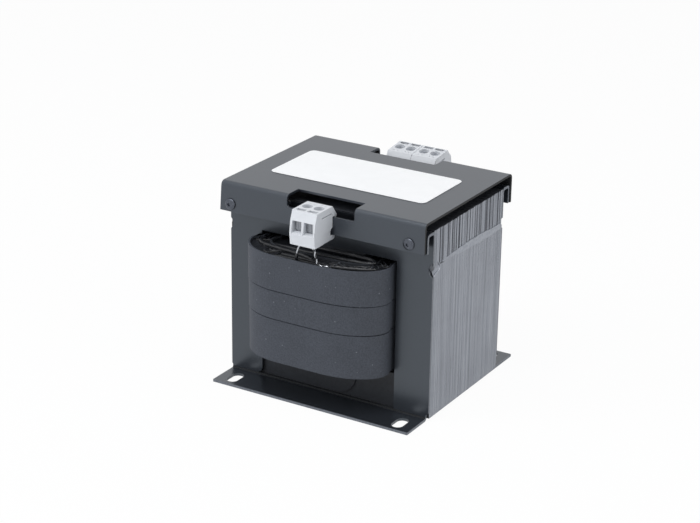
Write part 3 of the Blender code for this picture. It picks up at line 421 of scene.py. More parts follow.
def copy_of_node(node, name, whole=True):
    """A copy of a CAD node with its corners merged, and its flat faces whole again."""
    item = bpy.data.objects.new(name, frame["nodes"][node].data.copy())
    bpy.context.collection.objects.link(item)
    item.data.name = name
    item.data.materials.clear()
    pick(item)
    bpy.ops.mesh.customdata_custom_splitnormals_clear()
    edit_all(item)
    bpy.ops.mesh.remove_doubles(threshold=2e-6)
    if whole:
        bpy.ops.mesh.dissolve_limited(angle_limit=math.radians(0.5))
    leave_edit()
    return item


def block_place(terminal):
    """Turn and place of a terminal's own frame, in which -Y looks out of the wire entries."""
    middle, side, lean, off, lift = TERMINALS[terminal]
    turn = Euler((-math.radians(lean), 0, 0 if side < 0 else math.pi)).to_matrix().to_4x4()
    return Matrix.Translation((middle, side * (COVER_HALF + off), FLANGE_BOTTOM + lift)) @ turn


def into_block(item, terminal):
    """Lay a piece in its terminal's own frame, to work on it there."""
    item.matrix_world = block_place(terminal).inverted()
    settle(item)


def out_of_block(item, terminal):
    """Put the piece back in its place."""
    item.matrix_world = block_place(terminal)
    settle(item)


def coat(item, *names):
    """Add finishes to a piece."""
    for name in names:
        item.data.materials.append(finish(name))


def paint_node(node, name):
    """Give a CAD node that stays in sight its procedural finish."""
    frame["nodes"][node].data.materials.clear()
    coat(frame["nodes"][node], name)


def hand_over(item, slot, coating, *nodes, body="frame"):
    """Finish a piece: its finish, the body it rides on and the CAD nodes that it stands for."""
    settle(item)
    if coating:
        item.data.materials.clear()
        coat(item, coating)
    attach(item, body)
    if nodes:
        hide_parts(*nodes)


def loop_of(node, outside):
    """The outer or inner outline of a winding's top, in order round the tongue."""
    by_angle = {}
    for corner in frame["nodes"][node].data.vertices:
        if abs(corner.co.z - WINDING_TOP) <= 0.0002:
            angle = round(math.atan2(corner.co.y, corner.co.x), 3)
            by_angle.setdefault(angle, []).append(corner.co.copy())
    best = max if outside else min
    return [best(by_angle[angle], key=lambda place: place.xy.length)
            for angle in sorted(by_angle)]


def outline_at(loop, angle):
    """The point of an outline in one direction from the middle of the tongue."""
    reach = Vector((math.cos(angle), math.sin(angle)))
    for here, ahead in zip(loop, loop[1:] + loop[:1]):
        across = ahead.xy - here.xy
        bottom = reach.x * across.y - reach.y * across.x
        if abs(bottom) < 1e-12:
            continue
        t = (here.x * across.y - here.y * across.x) / bottom
        u = (here.x * reach.y - here.y * reach.x) / bottom
        if t > 0 and -1e-6 <= u <= 1 + 1e-6:
            return reach * t
    raise RuntimeError("The coil's outline has no point in that direction")


def tube(name, points, radii, closed=False, steps=3):
    """A round bar along a list of points, as a mesh."""
    curve = bpy.data.curves.new(name, "CURVE")
    curve.dimensions = "3D"
    curve.bevel_depth = 1.0
    curve.bevel_resolution = steps
    curve.use_fill_caps = not closed
    run = curve.splines.new("POLY")
    run.points.add(len(points) - 1)
    run.use_cyclic_u = closed
    for index, point in enumerate(points):
        run.points[index].co = (*point, 1.0)
        run.points[index].radius = radii[index]
    item = bpy.data.objects.new(name, curve)
    bpy.context.collection.objects.link(item)
    pick(item)
    bpy.ops.object.convert(target="MESH")
    item = named(name)
    face_out(item)
    shade(item, 50)
    return item


def smooth_route(stations, segments):
    """Points on one smooth curve through the stations."""
    ends = [stations[0] * 2 - stations[1]] + stations + [stations[-1] * 2 - stations[-2]]
    spans = len(stations) - 1
    points = []
    for step in range(segments + 1):
        position = spans * step / segments
        span = min(int(position), spans - 1)
        t = position - span
        p0, p1, p2, p3 = ends[span:span + 4]
        points.append((p1 * 2 + (p2 - p0) * t + (p0 * 2 - p1 * 5 + p2 * 4 - p3) * t ** 2
                       + (p1 * 3 - p0 - p2 * 3 + p3) * t ** 3) / 2)
    return points


# Finishes


def add(tree, kind, links=None, **settings):
    """Add one node with its settings, and link or set its inputs."""
    made = tree.nodes.new(kind)
    for name, value in settings.items():
        setattr(made, name, value)
    for socket, value in (links or {}).items():
        if isinstance(value, bpy.types.NodeSocket):
            tree.links.new(value, made.inputs[socket])
        else:
            made.inputs[socket].default_value = value
    return made


def surface(name, **values):
    """A new material with the constant values of its principled surface."""
    material = bpy.data.materials.new(name)
    material.use_nodes = True
    shader = material.node_tree.nodes["Principled BSDF"]
    for socket, value in values.items():
        shader.inputs[socket.replace("_", " ")].default_value = value
    place = add(material.node_tree, "ShaderNodeTexCoord").outputs["Object"]
    return material, material.node_tree, shader, place


def clouded(tree, place, colour, size, detail, low, high, start=0.0, end=1.0):
    """A colour, darkened and lightened between two factors by clouds of a size in metres."""
    cloud = add(tree, "ShaderNodeTexNoise", {
        "Vector": place, "Scale": 1 / size, "Detail": detail})
    factor = add(tree, "ShaderNodeMapRange", {
        "Value": cloud.outputs[0], "From Min": start, "From Max": end,
        "To Min": low, "To Max": high})
    shown = add(tree, "ShaderNodeVectorMath", {0: colour, 1: factor.outputs[0]},
                operation="MULTIPLY")
    return shown.outputs[0], cloud.outputs[0]


def dress(tree, shader, colour, height=None, strength=0.0, depth=0.0):
    """Give a surface its colour and, if it has one, the relief of a pattern, in metres."""
    tree.links.new(colour, shader.inputs["Base Color"])
    if height is not None:
        bump = add(tree, "ShaderNodeBump", {
            "Height": height, "Strength": strength, "Distance": depth})
        tree.links.new(bump.outputs[0], shader.inputs["Normal"])


def core_sheets_finish(name, band, contrast):
    """Punched electrical steel, stacked and dipped in varnish: grey streaks along each sheet."""
    material, tree, shader, place = surface(name, Metallic=0.35, Roughness=0.5)
    # Noise that is long along a sheet and as narrow as a few sheets across the stack
    along = add(tree, "ShaderNodeMapping", {"Vector": place, "Scale": (0.02, 1.0, 0.02)})
    wide = add(tree, "ShaderNodeTexNoise", {
        "Vector": along.outputs[0], "Scale": 1 / band, "Detail": 3.0, "Roughness": 0.6})
    # Single sheets are half a millimetre thick, drawn at 0.9 mm so that they show
    thin = add(tree, "ShaderNodeTexNoise", {
        "Vector": along.outputs[0], "Scale": 1 / 0.0009, "Detail": 1.0})
    total = add(tree, "ShaderNodeMath", {0: wide.outputs[0], 1: thin.outputs[0]}, operation="ADD")
    share = add(tree, "ShaderNodeMapRange", {
        "Value": total.outputs[0], "From Min": 1.0 - contrast, "From Max": 1.0 + contrast})
    mixed = add(tree, "ShaderNodeMix", {
        0: share.outputs[0], 6: colours().core_dark, 7: colours().core_light}, data_type="RGBA")
    # Varnish runs and handling marks, about 12 mm long
    shown, _ = clouded(tree, place, mixed.outputs[2], 0.012, 4.0, 0.86, 1.12)
    dress(tree, shader, shown, share.outputs[0], 0.35, 0.0002)
    return material


def paint_finish(name, colour, roughness):
    """Dark satin paint on folded steel: an even coat with a fine grain and a soft sheen."""
    material, tree, shader, place = surface(name, Roughness=roughness, IOR=1.78,
                                            Specular_Tint=(0.80, 0.89, 1.0, 1.0))
    # The grain of the coat is about 0.1 mm, drawn at 0.7 mm so that it shows
    shown, grain = clouded(tree, place, colour[:3], 0.0007, 2.0, 0.88, 1.12, 0.25, 0.75)
    # The coat drifts from thin to thick over about 30 mm
    shown, _ = clouded(tree, place, shown, 0.03, 2.0, 0.92, 1.08)
    dress(tree, shader, shown, grain, 0.25, 0.00004)
    return material


def wrap_finish(name, colour):
    """Cotton tape dipped in varnish: matt, with the weave as fine pale and dark specks."""
    material, tree, shader, place = surface(name, Roughness=0.72, IOR=1.45)
    # Threads lie 0.3 mm apart, drawn at 0.8 mm so that they show
    shown, weave = clouded(tree, place, colour[:3], 0.0008, 3.0, 0.8, 1.2, 0.3, 0.7)
    # Stains of the varnish, about 14 mm wide
    shown, _ = clouded(tree, place, shown, 0.014, 3.0, 0.88, 1.12)
    # A few lint specks, 0.6 mm wide and 6 mm apart
    cells = add(tree, "ShaderNodeTexVoronoi", {"Vector": place, "Scale": 1 / 0.006})
    speck = add(tree, "ShaderNodeMapRange", {
        "Value": cells.outputs["Distance"], "From Min": 0.03, "From Max": 0.09, "To Min": 0.35,
        "To Max": 0.0})
    mixed = add(tree, "ShaderNodeMix", {
        0: speck.outputs[0], 6: shown, 7: linear("#9a9ea6")}, data_type="RGBA")
    dress(tree, shader, mixed.outputs[2], weave, 0.5, 0.00012)
    return material


def polyamide_finish(name, colour):
    """Moulded light grey polyamide: half matt, with faint flow clouds."""
    material, tree, shader, place = surface(name, Roughness=0.42, IOR=1.53)
    # Flow clouds about 4 mm wide
    shown, _ = clouded(tree, place, colour[:3], 0.004, 2.0, 0.96, 1.02)
    # Spark-eroded grain of the mould, 0.1 mm, drawn at 0.3 mm
    grain = add(tree, "ShaderNodeTexNoise", {"Vector": place, "Scale": 1 / 0.0003})
    dress(tree, shader, shown, grain.outputs[0], 0.15, 0.00003)
    return material


def label_finish(name, colour):
    """White polyester label film: smooth, with a faint mottle from the glue below."""
    material, tree, shader, place = surface(name, Roughness=0.45, IOR=1.5)
    # The mottle is about 9 mm wide
    dress(tree, shader, clouded(tree, place, colour[:3], 0.009, 3.0, 0.95, 1.02)[0])
    return material


def two_tone_finish(name, values, dark, light, size, strength=0.0, depth=0.0):
    """One row of the table of two-tone finishes, or a metal."""
    material, tree, shader, place = surface(name, **values)
    cloud = add(tree, "ShaderNodeTexNoise", {"Vector": place, "Scale": 1 / size, "Detail": 3.0})
    mixed = add(tree, "ShaderNodeMix", {
        0: cloud.outputs[0], 6: linear(dark), 7: linear(light)}, data_type="RGBA")
    height = cloud.outputs[0] if strength else None
    dress(tree, shader, mixed.outputs[2], height, strength, depth)
    return material


def finish(name):
    """The material of that name, made the first time that it is asked for."""
    known = bpy.data.materials.get(name)
    if known:
        return known
    if name in TWO_TONES:
        return two_tone_finish(name, *TWO_TONES[name])
    if name in METALS:
        dark, light, roughness, wear = METALS[name]
        return two_tone_finish(name, {"Metallic": 1.0, "Roughness": roughness}, dark, light,
                               wear, 0.3, wear / 12)
    chosen = colours()
    makers = {
        "leg_sheets": (core_sheets_finish, 0.0024, 0.52),
        "bar_sheets": (core_sheets_finish, 0.0034, 0.40),
        "satin_cover_paint": (paint_finish, chosen.cover, 0.34),
        "satin_bracket_paint": (paint_finish, chosen.bracket, 0.28),
        "varnished_cloth_tape": (wrap_finish, chosen.wrap),
        "light_grey_polyamide": (polyamide_finish, chosen.housing),
        "white_label_film": (label_finish, chosen.label),
    }
    maker, *values = makers[name]
    return maker(name, *values)


# The core


def plate(name, width, y, low, high):
    """An upright plate without thickness, at one end of the stack."""
    deselect()
    bpy.ops.mesh.primitive_plane_add(size=1, rotation=(math.pi / 2, 0, 0),
                                     location=(0, y, (low + high) / 2))
    item = named(name)
    item.scale = (width, high - low, 1)
    settle(item)
    return item


def thickened(item, thickness):
    """The plate as a sheet, drawn out along the stack."""
    edit_all(item)
    bpy.ops.mesh.extrude_region_move(TRANSFORM_OT_translate={"value": (0, thickness, 0)})
    leave_edit()
    face_out(item)
    return item


def core_sheet(name, thickness):
    """One E sheet, made from the yoke: cut into columns, and three legs drawn up."""
    item = plate(name, CORE_HIGH.x - CORE_LOW.x - 2 * sizes().leg_scatter, CORE_LOW.y,
                 CORE_LOW.z, YOKE_TOP)
    for x in (-LEG_INSIDE, -TONGUE_HALF, TONGUE_HALF, LEG_INSIDE):
        edit_all(item)
        bpy.ops.mesh.bisect(plane_co=(x, 0, 0), plane_no=(1, 0, 0))

    def is_foot_of_leg(a, b):
        middle = abs(a.x + b.x) / 2
        level = min(a.z, b.z) > YOKE_TOP - 1e-5
        return level and (middle > LEG_INSIDE or middle < TONGUE_HALF)

    edit_where(item, "EDGE", is_foot_of_leg)
    bpy.ops.mesh.extrude_region_move(
        TRANSFORM_OT_translate={"value": (0, 0, CORE_HIGH.z - YOKE_TOP)})
    return thickened(item, thickness)


def bar_sheet(name, thickness, inset):
    """One I sheet."""
    width = BAR_HIGH.x - BAR_LOW.x - 2 * inset
    return thickened(plate(name, width, BAR_LOW.y, BAR_LOW.z, BAR_HIGH.z), thickness)


class TRANSFORMER_OT_core_sheets(bpy.types.Operator):
    """Stack the E and I sheets of the core, each a little off its neighbours"""

    bl_idname = "transformer.core_sheets"
    bl_label = "Core sheets"

    def execute(self, context):
        size = sizes()
        chance = random.Random(7)
        thickness = size.sheet - size.sheet_gap
        count = int((CORE_HIGH.y - CORE_LOW.y) / size.sheet)
        legs = [core_sheet("leg_sheet", thickness)]
        drift = 0.0
        for index in range(1, count):
            if chance.random() < 0.4:
                drift = chance.uniform(-1, 1)
            x = size.leg_scatter * max(-1, min(1, drift + chance.uniform(-0.3, 0.3)))
            legs.append(copied(legs[0], (x, size.sheet * index, 0)))
        stack = joined("e_core_sheets", legs)
        # The crater at the start of the weld
        carve(stack, ball("crater_cutter", (0.06778, -0.0421, 0.09285),
                          (0.0026, 0.0092, 0.0060), 40, 24))
        streak_and_shade_faces(stack, "leg_sheets")
        hand_over(stack, "core_steel", None, "e_core_stack")

        full = bar_sheet("bar_sheet", thickness, size.bar_scatter)
        # About one bar in eleven is 0.7 mm short at each end
        short = bar_sheet("short_bar_sheet", thickness, 0.0007)
        bars = []
        shift = drop = 0.0
        for index in range(count):
            if chance.random() < 0.36:
                shift = chance.uniform(-1, 1) * size.bar_scatter
                drop = -chance.random() * size.bar_scatter
            master = short if chance.random() < 0.09 else full
            bars.append(copied(master, (shift if master is full else 0,
                                        size.sheet * index, drop)))
        for master in (full, short):
            bpy.data.objects.remove(master, do_unlink=True)
        stack = joined("i_core_sheets", bars)
        streak_and_shade_faces(stack, "bar_sheets")
        hand_over(stack, "core_steel", None, "i_core_stack")
        return {"FINISHED"}


def streak_and_shade_faces(stack, sheets):
    """Streaks on the stack's sides, and on its flat faces, top and inside a dark varnish whose
    tone is partly painted shade.
    """
    coat(stack, sheets, "dark_core_varnish")
    for face in stack.data.polygons:
        outside = abs(face.normal.x) > 0.2 and abs(face.center.x) > CORE_HIGH.x - 0.004
        # Every face but the outer sides takes the dark varnish, partly painted shade
        face.material_index = 0 if outside else 1


class TRANSFORMER_OT_weld_seams(bpy.types.Operator):
    """Lay the weld band along the joint of the stacks on each side"""

    bl_idname = "transformer.weld_seams"
    bl_label = "Weld seams"

    def execute(self, context):
        for side, word in ((1, "right"), (-1, "left")):
            hand_over(weld_band(f"weld_band_{word}", side), "weld_steel", "weld_metal",
                      f"weld_bead_{word}")
        blob = ball("weld_blob", (0.0654, -0.0408, 0.0928), (0.0009, 0.0023, 0.0026), 32, 20)
        swell(blob, "blob_skin", 0.003, 0.0008)
        shade(blob, 60)
        # The blob's dark grey is painted shade of the crater's hollow
        hand_over(blob, "weld_steel", "scaled_weld")
        steps = 48
        route = smooth_route([Vector((CORE_HIGH.x - 0.00012, y, z)) for y, z in CRATER_RIM],
                             steps)
        radii = [0.0001 + 0.00036 * math.sin(math.pi * index / steps) ** 0.5
                 for index in range(steps + 1)]
        hand_over(tube("weld_rim", route, radii), "weld_steel", "weld_metal")
        return {"FINISHED"}


def weld_band(name, side):
    """A strip as long as the weld, narrowed and shifted row by row to the weld's wavy edges."""
    first, last = WELD_EDGES[0][0], WELD_EDGES[-1][0]
    deselect()
    bpy.ops.mesh.primitive_grid_add(
        x_subdivisions=72, y_subdivisions=8, size=1, rotation=(math.pi / 2, 0, math.pi / 2),
        location=(0, (first + last) / 2, WELD_MIDDLE))
    item = named(name)
    item.scale = (last - first, WELD_STRIP, 1)
    settle(item)
    for y in sorted({round(corner.co.y, 6) for corner in item.data.vertices}):
        upper, lower = band_edge(y, 1), band_edge(y, 2)
        edit_where(item, "VERT", lambda place: abs(place.y - y) < 1e-5)
        bpy.ops.transform.resize(value=(1, 1, (upper - lower) / WELD_STRIP),
                                 center_override=(0, y, WELD_MIDDLE))
        bpy.ops.transform.translate(value=(0, 0, (upper + lower) / 2 - WELD_MIDDLE))
        leave_edit()
    swell(item, "weld_skin", 0.004, 0.0002, direction="X")
    apply_step(item, "SOLIDIFY", thickness=0.0011, offset=0.0)
    shift_where(item, lambda place: True, (CORE_HIGH.x - 0.0005, 0, 0))
    soften(item, 0.0003, 2, 50)
    # The lower edge runs out into the sheets below it
    shift_where(item, lambda place: place.z < 0.09245 and place.z < band_edge(
        max(place.y, first), 2) + 0.0009, (-0.00024, 0, 0))
    if side < 0:
        pick(item)
        bpy.ops.transform.mirror(constraint_axis=(True, False, False),
                                 center_override=(0, 0, 0))
        settle(item)
        face_out(item)
    return item


def band_edge(y, column):
    """Height of one edge of the weld band at a place along the stack."""
    for here, ahead in zip(WELD_EDGES, WELD_EDGES[1:]):
        if y <= ahead[0]:
            share = (y - here[0]) / (ahead[0] - here[0])
            return here[column] + (ahead[column] - here[column]) * share
    return WELD_EDGES[-1][column]


# Folded sheet


class TRANSFORMER_OT_foot_brackets(bpy.types.Operator):
    """Round the brackets' sheet edges and show their sheared ends"""

    bl_idname = "transformer.foot_brackets"
    bl_label = "Foot brackets"

    def execute(self, context):
        for word in ("front", "rear"):
            item = copy_of_node(f"{word}_bracket", f"{word}_foot_bracket")
            coat(item, "satin_bracket_paint", "sheared_steel_edge", "dull_fold_paint")
            for face in item.data.polygons:
                place, normal = face.center, face.normal
                sheared = (abs(normal.x) > 0.9 and abs(place.x) > 0.064) or (
                    abs(normal.y) > 0.9 and abs(place.y) > 0.063)
                # Painted shade: the paint is darkened and dull in the fold of the foot and on the
                # window's sill
                in_fold = 0.15 < normal.z < 0.97 and 0.001 < place.z < 0.007
                on_sill = normal.z > 0.5 and abs(place.z - 0.0026) < 0.0004 and (
                    abs(place.x) < LEG_INSIDE + 0.001)
                face.material_index = 2 if in_fold or on_sill else 1 if sheared else 0
            soften(item, sizes().sheet_edge)
            hand_over(item, "bracket_steel", None, f"{word}_bracket")
        return {"FINISHED"}


class TRANSFORMER_OT_top_cover(bpy.types.Operator):
    """Round the cover's sheet edges and darken the side that no light reaches"""

    bl_idname = "transformer.top_cover"
    bl_label = "Top cover"

    def execute(self, context):
        item = copy_of_node("top_cover", "folded_cover")
        coat(item, "satin_cover_paint", "unlit_cover_paint")
        inside = COVER_HALF - 0.0012
        for face in item.data.polygons:
            below = face.normal.z < -0.7 and face.center.z > BAR_HIGH.z
            behind = face.normal.y * face.center.y < 0 and abs(face.center.y) < inside
            face.material_index = 1 if below or behind else 0
        soften(item, sizes().sheet_edge)
        hand_over(item, "cover_steel", None, "top_cover")
        return {"FINISHED"}


class TRANSFORMER_OT_rating_label(bpy.types.Operator):
    """Lay the bare label film on the cover"""

    bl_idname = "transformer.rating_label"
    bl_label = "Rating label"

    def execute(self, context):
        item = copy_of_node("rating_label", "label_film")
        soften(item, 0.00008)
        hand_over(item, "label_film", "white_label_film", "rating_label")
        return {"FINISHED"}


class TRANSFORMER_OT_blind_rivets(bpy.types.Operator):
    """Turn the four blind rivets with their broken mandrels"""

    bl_idname = "transformer.blind_rivets"
    bl_label = "Blind rivets"

    def execute(self, context):
        for node in ("rivet_front_left", "rivet_front_right", "rivet_rear_left",
                     "rivet_rear_right"):
            item = copy_of_node(node, f"{node}_head")
            soften(item, 0.00012, 2, 25)
            hand_over(item, "rivet_steel", "blackened_rivet", node)
        return {"FINISHED"}


# The coil


class TRANSFORMER_OT_coil_wrap(bpy.types.Operator):
    """Wind the three tape bands with soft, uneven edges"""

    bl_idname = "transformer.coil_wrap"
    bl_label = "Coil wrap"

    def execute(self, context):
        for word in ("lower", "middle", "upper"):
            node = f"wrap_band_{word}"
            item = copy_of_node(node, f"tape_{word}")
            low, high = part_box(node)
            for step in range(1, 6):
                edit_all(item)
                bpy.ops.mesh.bisect(plane_co=(0, 0, low.z + (high.z - low.z) * step / 6),
                                    plane_no=(0, 0, 1))
            leave_edit()
            swell(item, "tape_swell", 0.02, 0.0003, 0.8)
            soften(item, 0.00022, 2, 50)
            hand_over(item, "coil_wrap", "varnished_cloth_tape", node)
        return {"FINISHED"}


class TRANSFORMER_OT_coil_turns(bpy.types.Operator):
    """Lay the varnished turns on top of the windings"""

    bl_idname = "transformer.coil_turns"
    bl_label = "Coil turns"

    def execute(self, context):
        size = sizes()
        chance = random.Random(3)
        inner = loop_of("inner_winding", False)
        outer = loop_of("outer_winding", True)
        made = []
        steps = 120
        for turn in range(size.turns):
            share = 0.14 + 0.78 * turn / (size.turns - 1)
            radius = size.turn_radius * chance.uniform(0.8, 1.25)
            phase = chance.uniform(0, 6)
            points = []
            for step in range(steps):
                angle = 2 * math.pi * step / steps
                near = outline_at(inner, angle)
                far = outline_at(outer, angle)
                wave = 0.02 * math.sin(5 * angle + phase) + 0.01 * math.sin(11 * angle + phase)
                place = near + (far - near) * (share + wave)
                height = WINDING_TOP - radius * (0.25 - 0.3 * math.sin(3 * angle + phase))
                points.append((place.x, place.y, height))
            made.append(tube(f"turn_{turn}", points, [radius] * steps, closed=True))
        hand_over(joined("winding_turns", made), "varnished_winding", "black_varnish")
        hand_over(sleeved_cords(), "varnished_winding", "black_varnish")
        hand_over(crumpled_paper(), "barrier_film", "glossy_black_paper")
        for node in ("inner_winding", "outer_winding"):
            paint_node(node, "black_varnish")
        for node in ("coil_former", "yoke_card", "winding_barrier"):
            paint_node(node, "black_fibre_card")
        return {"FINISHED"}


def sleeved_cords():
    """The lead ends in their sleeves, laid on the windings on both sides of the core."""
    radius = sizes().sleeve_radius
    steps = 70
    made = []
    for side in (1, -1):
        for number, stations in enumerate(SLEEVES):
            route = smooth_route([Vector((x / 1000, side * y / 1000, WINDING_TOP + up / 1000))
                                  for x, y, up in stations], steps)
            radii = []
            for index in range(steps + 1):
                ends = min(1.0, 0.35 + min(index, steps - index) / 9)
                radii.append(radius * ends * (1 + 0.08 * math.sin(index * 0.9 + number)))
            made.append(tube(f"sleeve_{number}_{side}", route, radii))
    return joined("sleeved_cords", made)


def crumpled_paper():
    """The torn inner edge of the wrap's paper, which stands up along the right end of the rim."""
    outer = loop_of("outer_winding", True)
    chance = random.Random(11)
    made = []
    for side in (-1, 1):
        count = 56
        points = []
        for index in range(count):
            angle = side * math.radians(82 - 66 * index / (count - 1))
            place = outline_at(outer, angle)
            points.append(place * (0.985 + chance.uniform(-0.012, 0.006)))
        deselect()
        bpy.ops.mesh.primitive_grid_add(x_subdivisions=count - 1, y_subdivisions=4, size=1)
        strip = named(f"paper_{side}")
        columns = {}
        for corner in strip.data.vertices:
            columns.setdefault(round((corner.co.x + 0.5) * (count - 1)), []).append(corner)
        for index, corners in columns.items():
            height = chance.uniform(0.0006, 0.0017)
            for corner in corners:
                up = corner.co.y + 0.5
                lean = 1 - 0.03 * up * chance.uniform(0.2, 1.0)
                corner.co = (points[index].x * lean, points[index].y * lean,
                             WINDING_TOP - 0.0003 + height * up)
        apply_step(strip, "SOLIDIFY", thickness=0.0002, offset=0.0)
        made.append(strip)
    item = joined("crumpled_paper", made)
    face_out(item)
    shade(item, 40)
    return item


# The terminals


class TRANSFORMER_OT_terminal_housings(bpy.types.Operator):
    """Bow and cut the terminal housings and round their moulded edges"""

    bl_idname = "transformer.terminal_housings"
    bl_label = "Terminal housings"

    def execute(self, context):
        for terminal in TERMINALS:
            hand_over(moulding(terminal), "terminal_housing", "light_grey_polyamide",
                      f"{terminal}_housing")
        return {"FINISHED"}


def on_sloping_face(place):
    """Whether a corner lies on a housing's sloping face, below its top edge."""
    face = -(FACE_OUT + FACE_RUN * (FACE_TOP - place.z) / (FACE_TOP - FACE_FOOT))
    return abs(place.y - face) < 0.00008 and FACE_FOOT + 0.0001 < place.z < FACE_TOP - 0.0008


def moulding(terminal):
    """A housing with its bowed face, probe slots, ledge slits and marker pips."""
    item = copy_of_node(f"{terminal}_housing", f"{terminal}_moulding", False)
    into_block(item, terminal)
    # A row of corners right across the face, above the entries, for the face to fold along
    edit_all(item)
    bpy.ops.mesh.bisect(plane_co=(0, 0, FACE_FOLD), plane_no=(0, 0, 1))
    leave_edit()
    # How far the face bows, where the top edge starts and how far it moves, and where the
    # probe slots end
    bow, edge, move, probe = (-0.00105, -0.0155, -0.0005, -0.01265)
    if TERMINALS[terminal][2] > 0:
        bow, edge, move, probe = (-0.0016, -0.0135, 0.0009, -0.0120)
    rows = {round(corner.co.z, 5) for corner in item.data.vertices if on_sloping_face(corner.co)}
    for row in sorted(rows):
        share = (row - FACE_FOOT) / BOW_RISE
        shift_where(item, lambda place: on_sloping_face(place) and abs(place.z - row) < 2e-5,
                    (0, bow * share, 0))
    shift_where(item, lambda place: place.z > 0.0165 and place.y < edge, (0, move, 0))
    slots, pockets, small = [], [], []
    for pole in POLES:
        slots.append(box_cutter((pole - 0.00275, probe - 0.0024, 0.0111),
                                (pole + 0.00305, probe, 0.0180)))
        # Room for the raised shoe's skirt, with its sides just off the walls of the cell
        pockets.append(box_cutter((pole - 0.00287, -0.0160, 0.0109),
                                  (pole + 0.00287, -0.01463, 0.0140)))
        for beside in (-0.00125, 0.00125):
            deselect()
            bpy.ops.mesh.primitive_cylinder_add(vertices=12, radius=0.00048, depth=0.0012,
                                                location=(pole + beside, -0.0025, FACE_TOP))
            small.append(named("pip_cutter"))
    for side in (-1, 1):
        ends = sorted((side * 0.0071, side * 0.0083))
        small.append(box_cutter((ends[0], -0.0112, 0.01243), (ends[1], -0.0010, 0.01305)))
    for name, cutters in (("slot_cutters", slots), ("pocket_cutters", pockets),
                          ("small_cutters", small)):
        carve(item, joined(name, cutters))
    out_of_block(item, terminal)
    soften(item, sizes().moulded_edge)
    return item


class TRANSFORMER_OT_clamps(bpy.types.Operator):
    """Shape the cages and the ribbed shoes inside the terminals, and finish the screws"""

    bl_idname = "transformer.clamps"
    bl_label = "Clamps"

    def execute(self, context):
        for terminal in TERMINALS:
            for number, pole in enumerate(POLES, 1):
                hand_over(contact(terminal, number), "terminal_contact", "tinned_brass",
                          f"{terminal}_cage_{number}")
                hand_over(ribbed_shoe(terminal, number, pole), "clamp_shoe", "stainless_shoe",
                          f"{terminal}_shoe_{number}", body=f"{terminal}_clamp_{number}")
                paint_node(f"{terminal}_screw_{number}", "zinc_screw")
        return {"FINISHED"}


def contact(terminal, number):
    """A cage whose floor ends behind the shoe's ribbed skirt."""
    item = copy_of_node(f"{terminal}_cage_{number}", f"{terminal}_contact_{number}")
    into_block(item, terminal)
    shift_where(item, lambda place: place.y < -0.0150, (0, 0.00095, 0))
    out_of_block(item, terminal)
    soften(item, 0.00005)
    return item


def ribbed_shoe(terminal, number, pole):
    """A shoe whose ribbed skirt stands close behind the wire entry and fills it."""
    item = copy_of_node(f"{terminal}_shoe_{number}", f"{terminal}_ribbed_shoe_{number}")
    into_block(item, terminal)
    # The skirt reaches higher and lower, and its ribs stand out further
    shift_where(item, lambda place: place.z > 0.0107, (0, 0, 0.00045))
    shift_where(item, lambda place: place.y < SKIRT_BACK and place.z < 0.00622, (0, 0, -0.0013))
    shift_where(item, lambda place: place.y < -0.0125, (0, -0.00012, 0))
    # It is wider too, and stands further out
    edit_where(item, "VERT", lambda place: place.y < SKIRT_BACK)
    bpy.ops.transform.resize(value=(1.12, 1, 1), center_override=(pole - 0.00012, 0, 0))
    bpy.ops.transform.translate(value=(0, -0.0032, 0))
    leave_edit()
    out_of_block(item, terminal)
    soften(item, 0.00004)
    return item


class TRANSFORMER_OT_terminal_leads(bpy.types.Operator):
    """Lead one sleeved wire and one twisted pair from each terminal down to the coil"""

    bl_idname = "transformer.terminal_leads"
    bl_label = "Terminal leads"

    def execute(self, context):
        for terminal in TERMINALS:
            starts = [block_place(terminal) @ Vector((pole, *TAIL_END)) for pole in POLES]
            for number, start in enumerate(starts, 1):
                outer = abs(start.x) > abs(starts[2 - number].x)
                route = lead_route(start, LEAD_WAYS[1 if outer else 0])
                if outer:
                    item = twisted_pair(f"{terminal}_strands_{number}", route)
                else:
                    item = sleeved_wire(f"{terminal}_wire_{number}", route)
                hand_over(item, "tinned_lead", None, f"{terminal}_lead_{number}")
        return {"FINISHED"}


def lead_route(start, way):
    """Middle line of a lead, from the tail of its cage to where it lies on the coil."""
    outward = math.copysign(0.001, start.x)
    side = 1 if start.y > 0 else -1
    step_in = abs(start.y) - LEAD_LANDING
    drop = start.z - WINDING_TOP - 0.0011
    return smooth_route([
        Vector((start.x + outward * out, start.y - side * (step_in * down + back / 1000),
                start.z - drop * down)) for out, back, down in way], 60)


def twisted_pair(name, route):
    """A bright and a varnished strand, twisted round each other along a route."""
    radius = sizes().strand_radius
    reach = radius * 0.7
    twist = 0.42
    strands = []
    for strand, coating in enumerate(("tinned_strand", "black_varnish")):
        points = []
        for index, point in enumerate(route):
            ahead = route[min(index + 1, len(route) - 1)] - route[max(index - 1, 0)]
            across = ahead.cross(Vector((0, 1, 0.3))).normalized()
            upward = ahead.cross(across).normalized()
            angle = math.pi * strand + index * twist
            points.append(point + across * (reach * math.cos(angle))
                          + upward * (reach * math.sin(angle)))
        item = tube(f"{name}_{strand}", points, [radius] * len(points), steps=2)
        coat(item, coating)
        strands.append(item)
    # A drop of solder and varnish where the pair ends on the rim
    drop = ball(f"{name}_drop", route[-1], (0.0015, 0.0009, 0.0007), 20, 12)
    coat(drop, "tinned_strand")
    shade(drop, 60)
    return joined(name, strands + [drop])


def sleeved_wire(name, route):
    """A bare tinned end that runs into a black sleeve."""
    bare_radius, sleeve_radius = 0.00052, 0.00095
    uncovered, covered = route[:34], route[27:]
    bare = tube(f"{name}_bare", uncovered, [bare_radius] * len(uncovered), steps=2)
    coat(bare, "tinned_strand")
    sleeve = tube(f"{name}_sleeve", covered, [sleeve_radius] * len(covered), steps=2)
    coat(sleeve, "black_varnish")
    return joined(name, [bare, sleeve])


# The studio


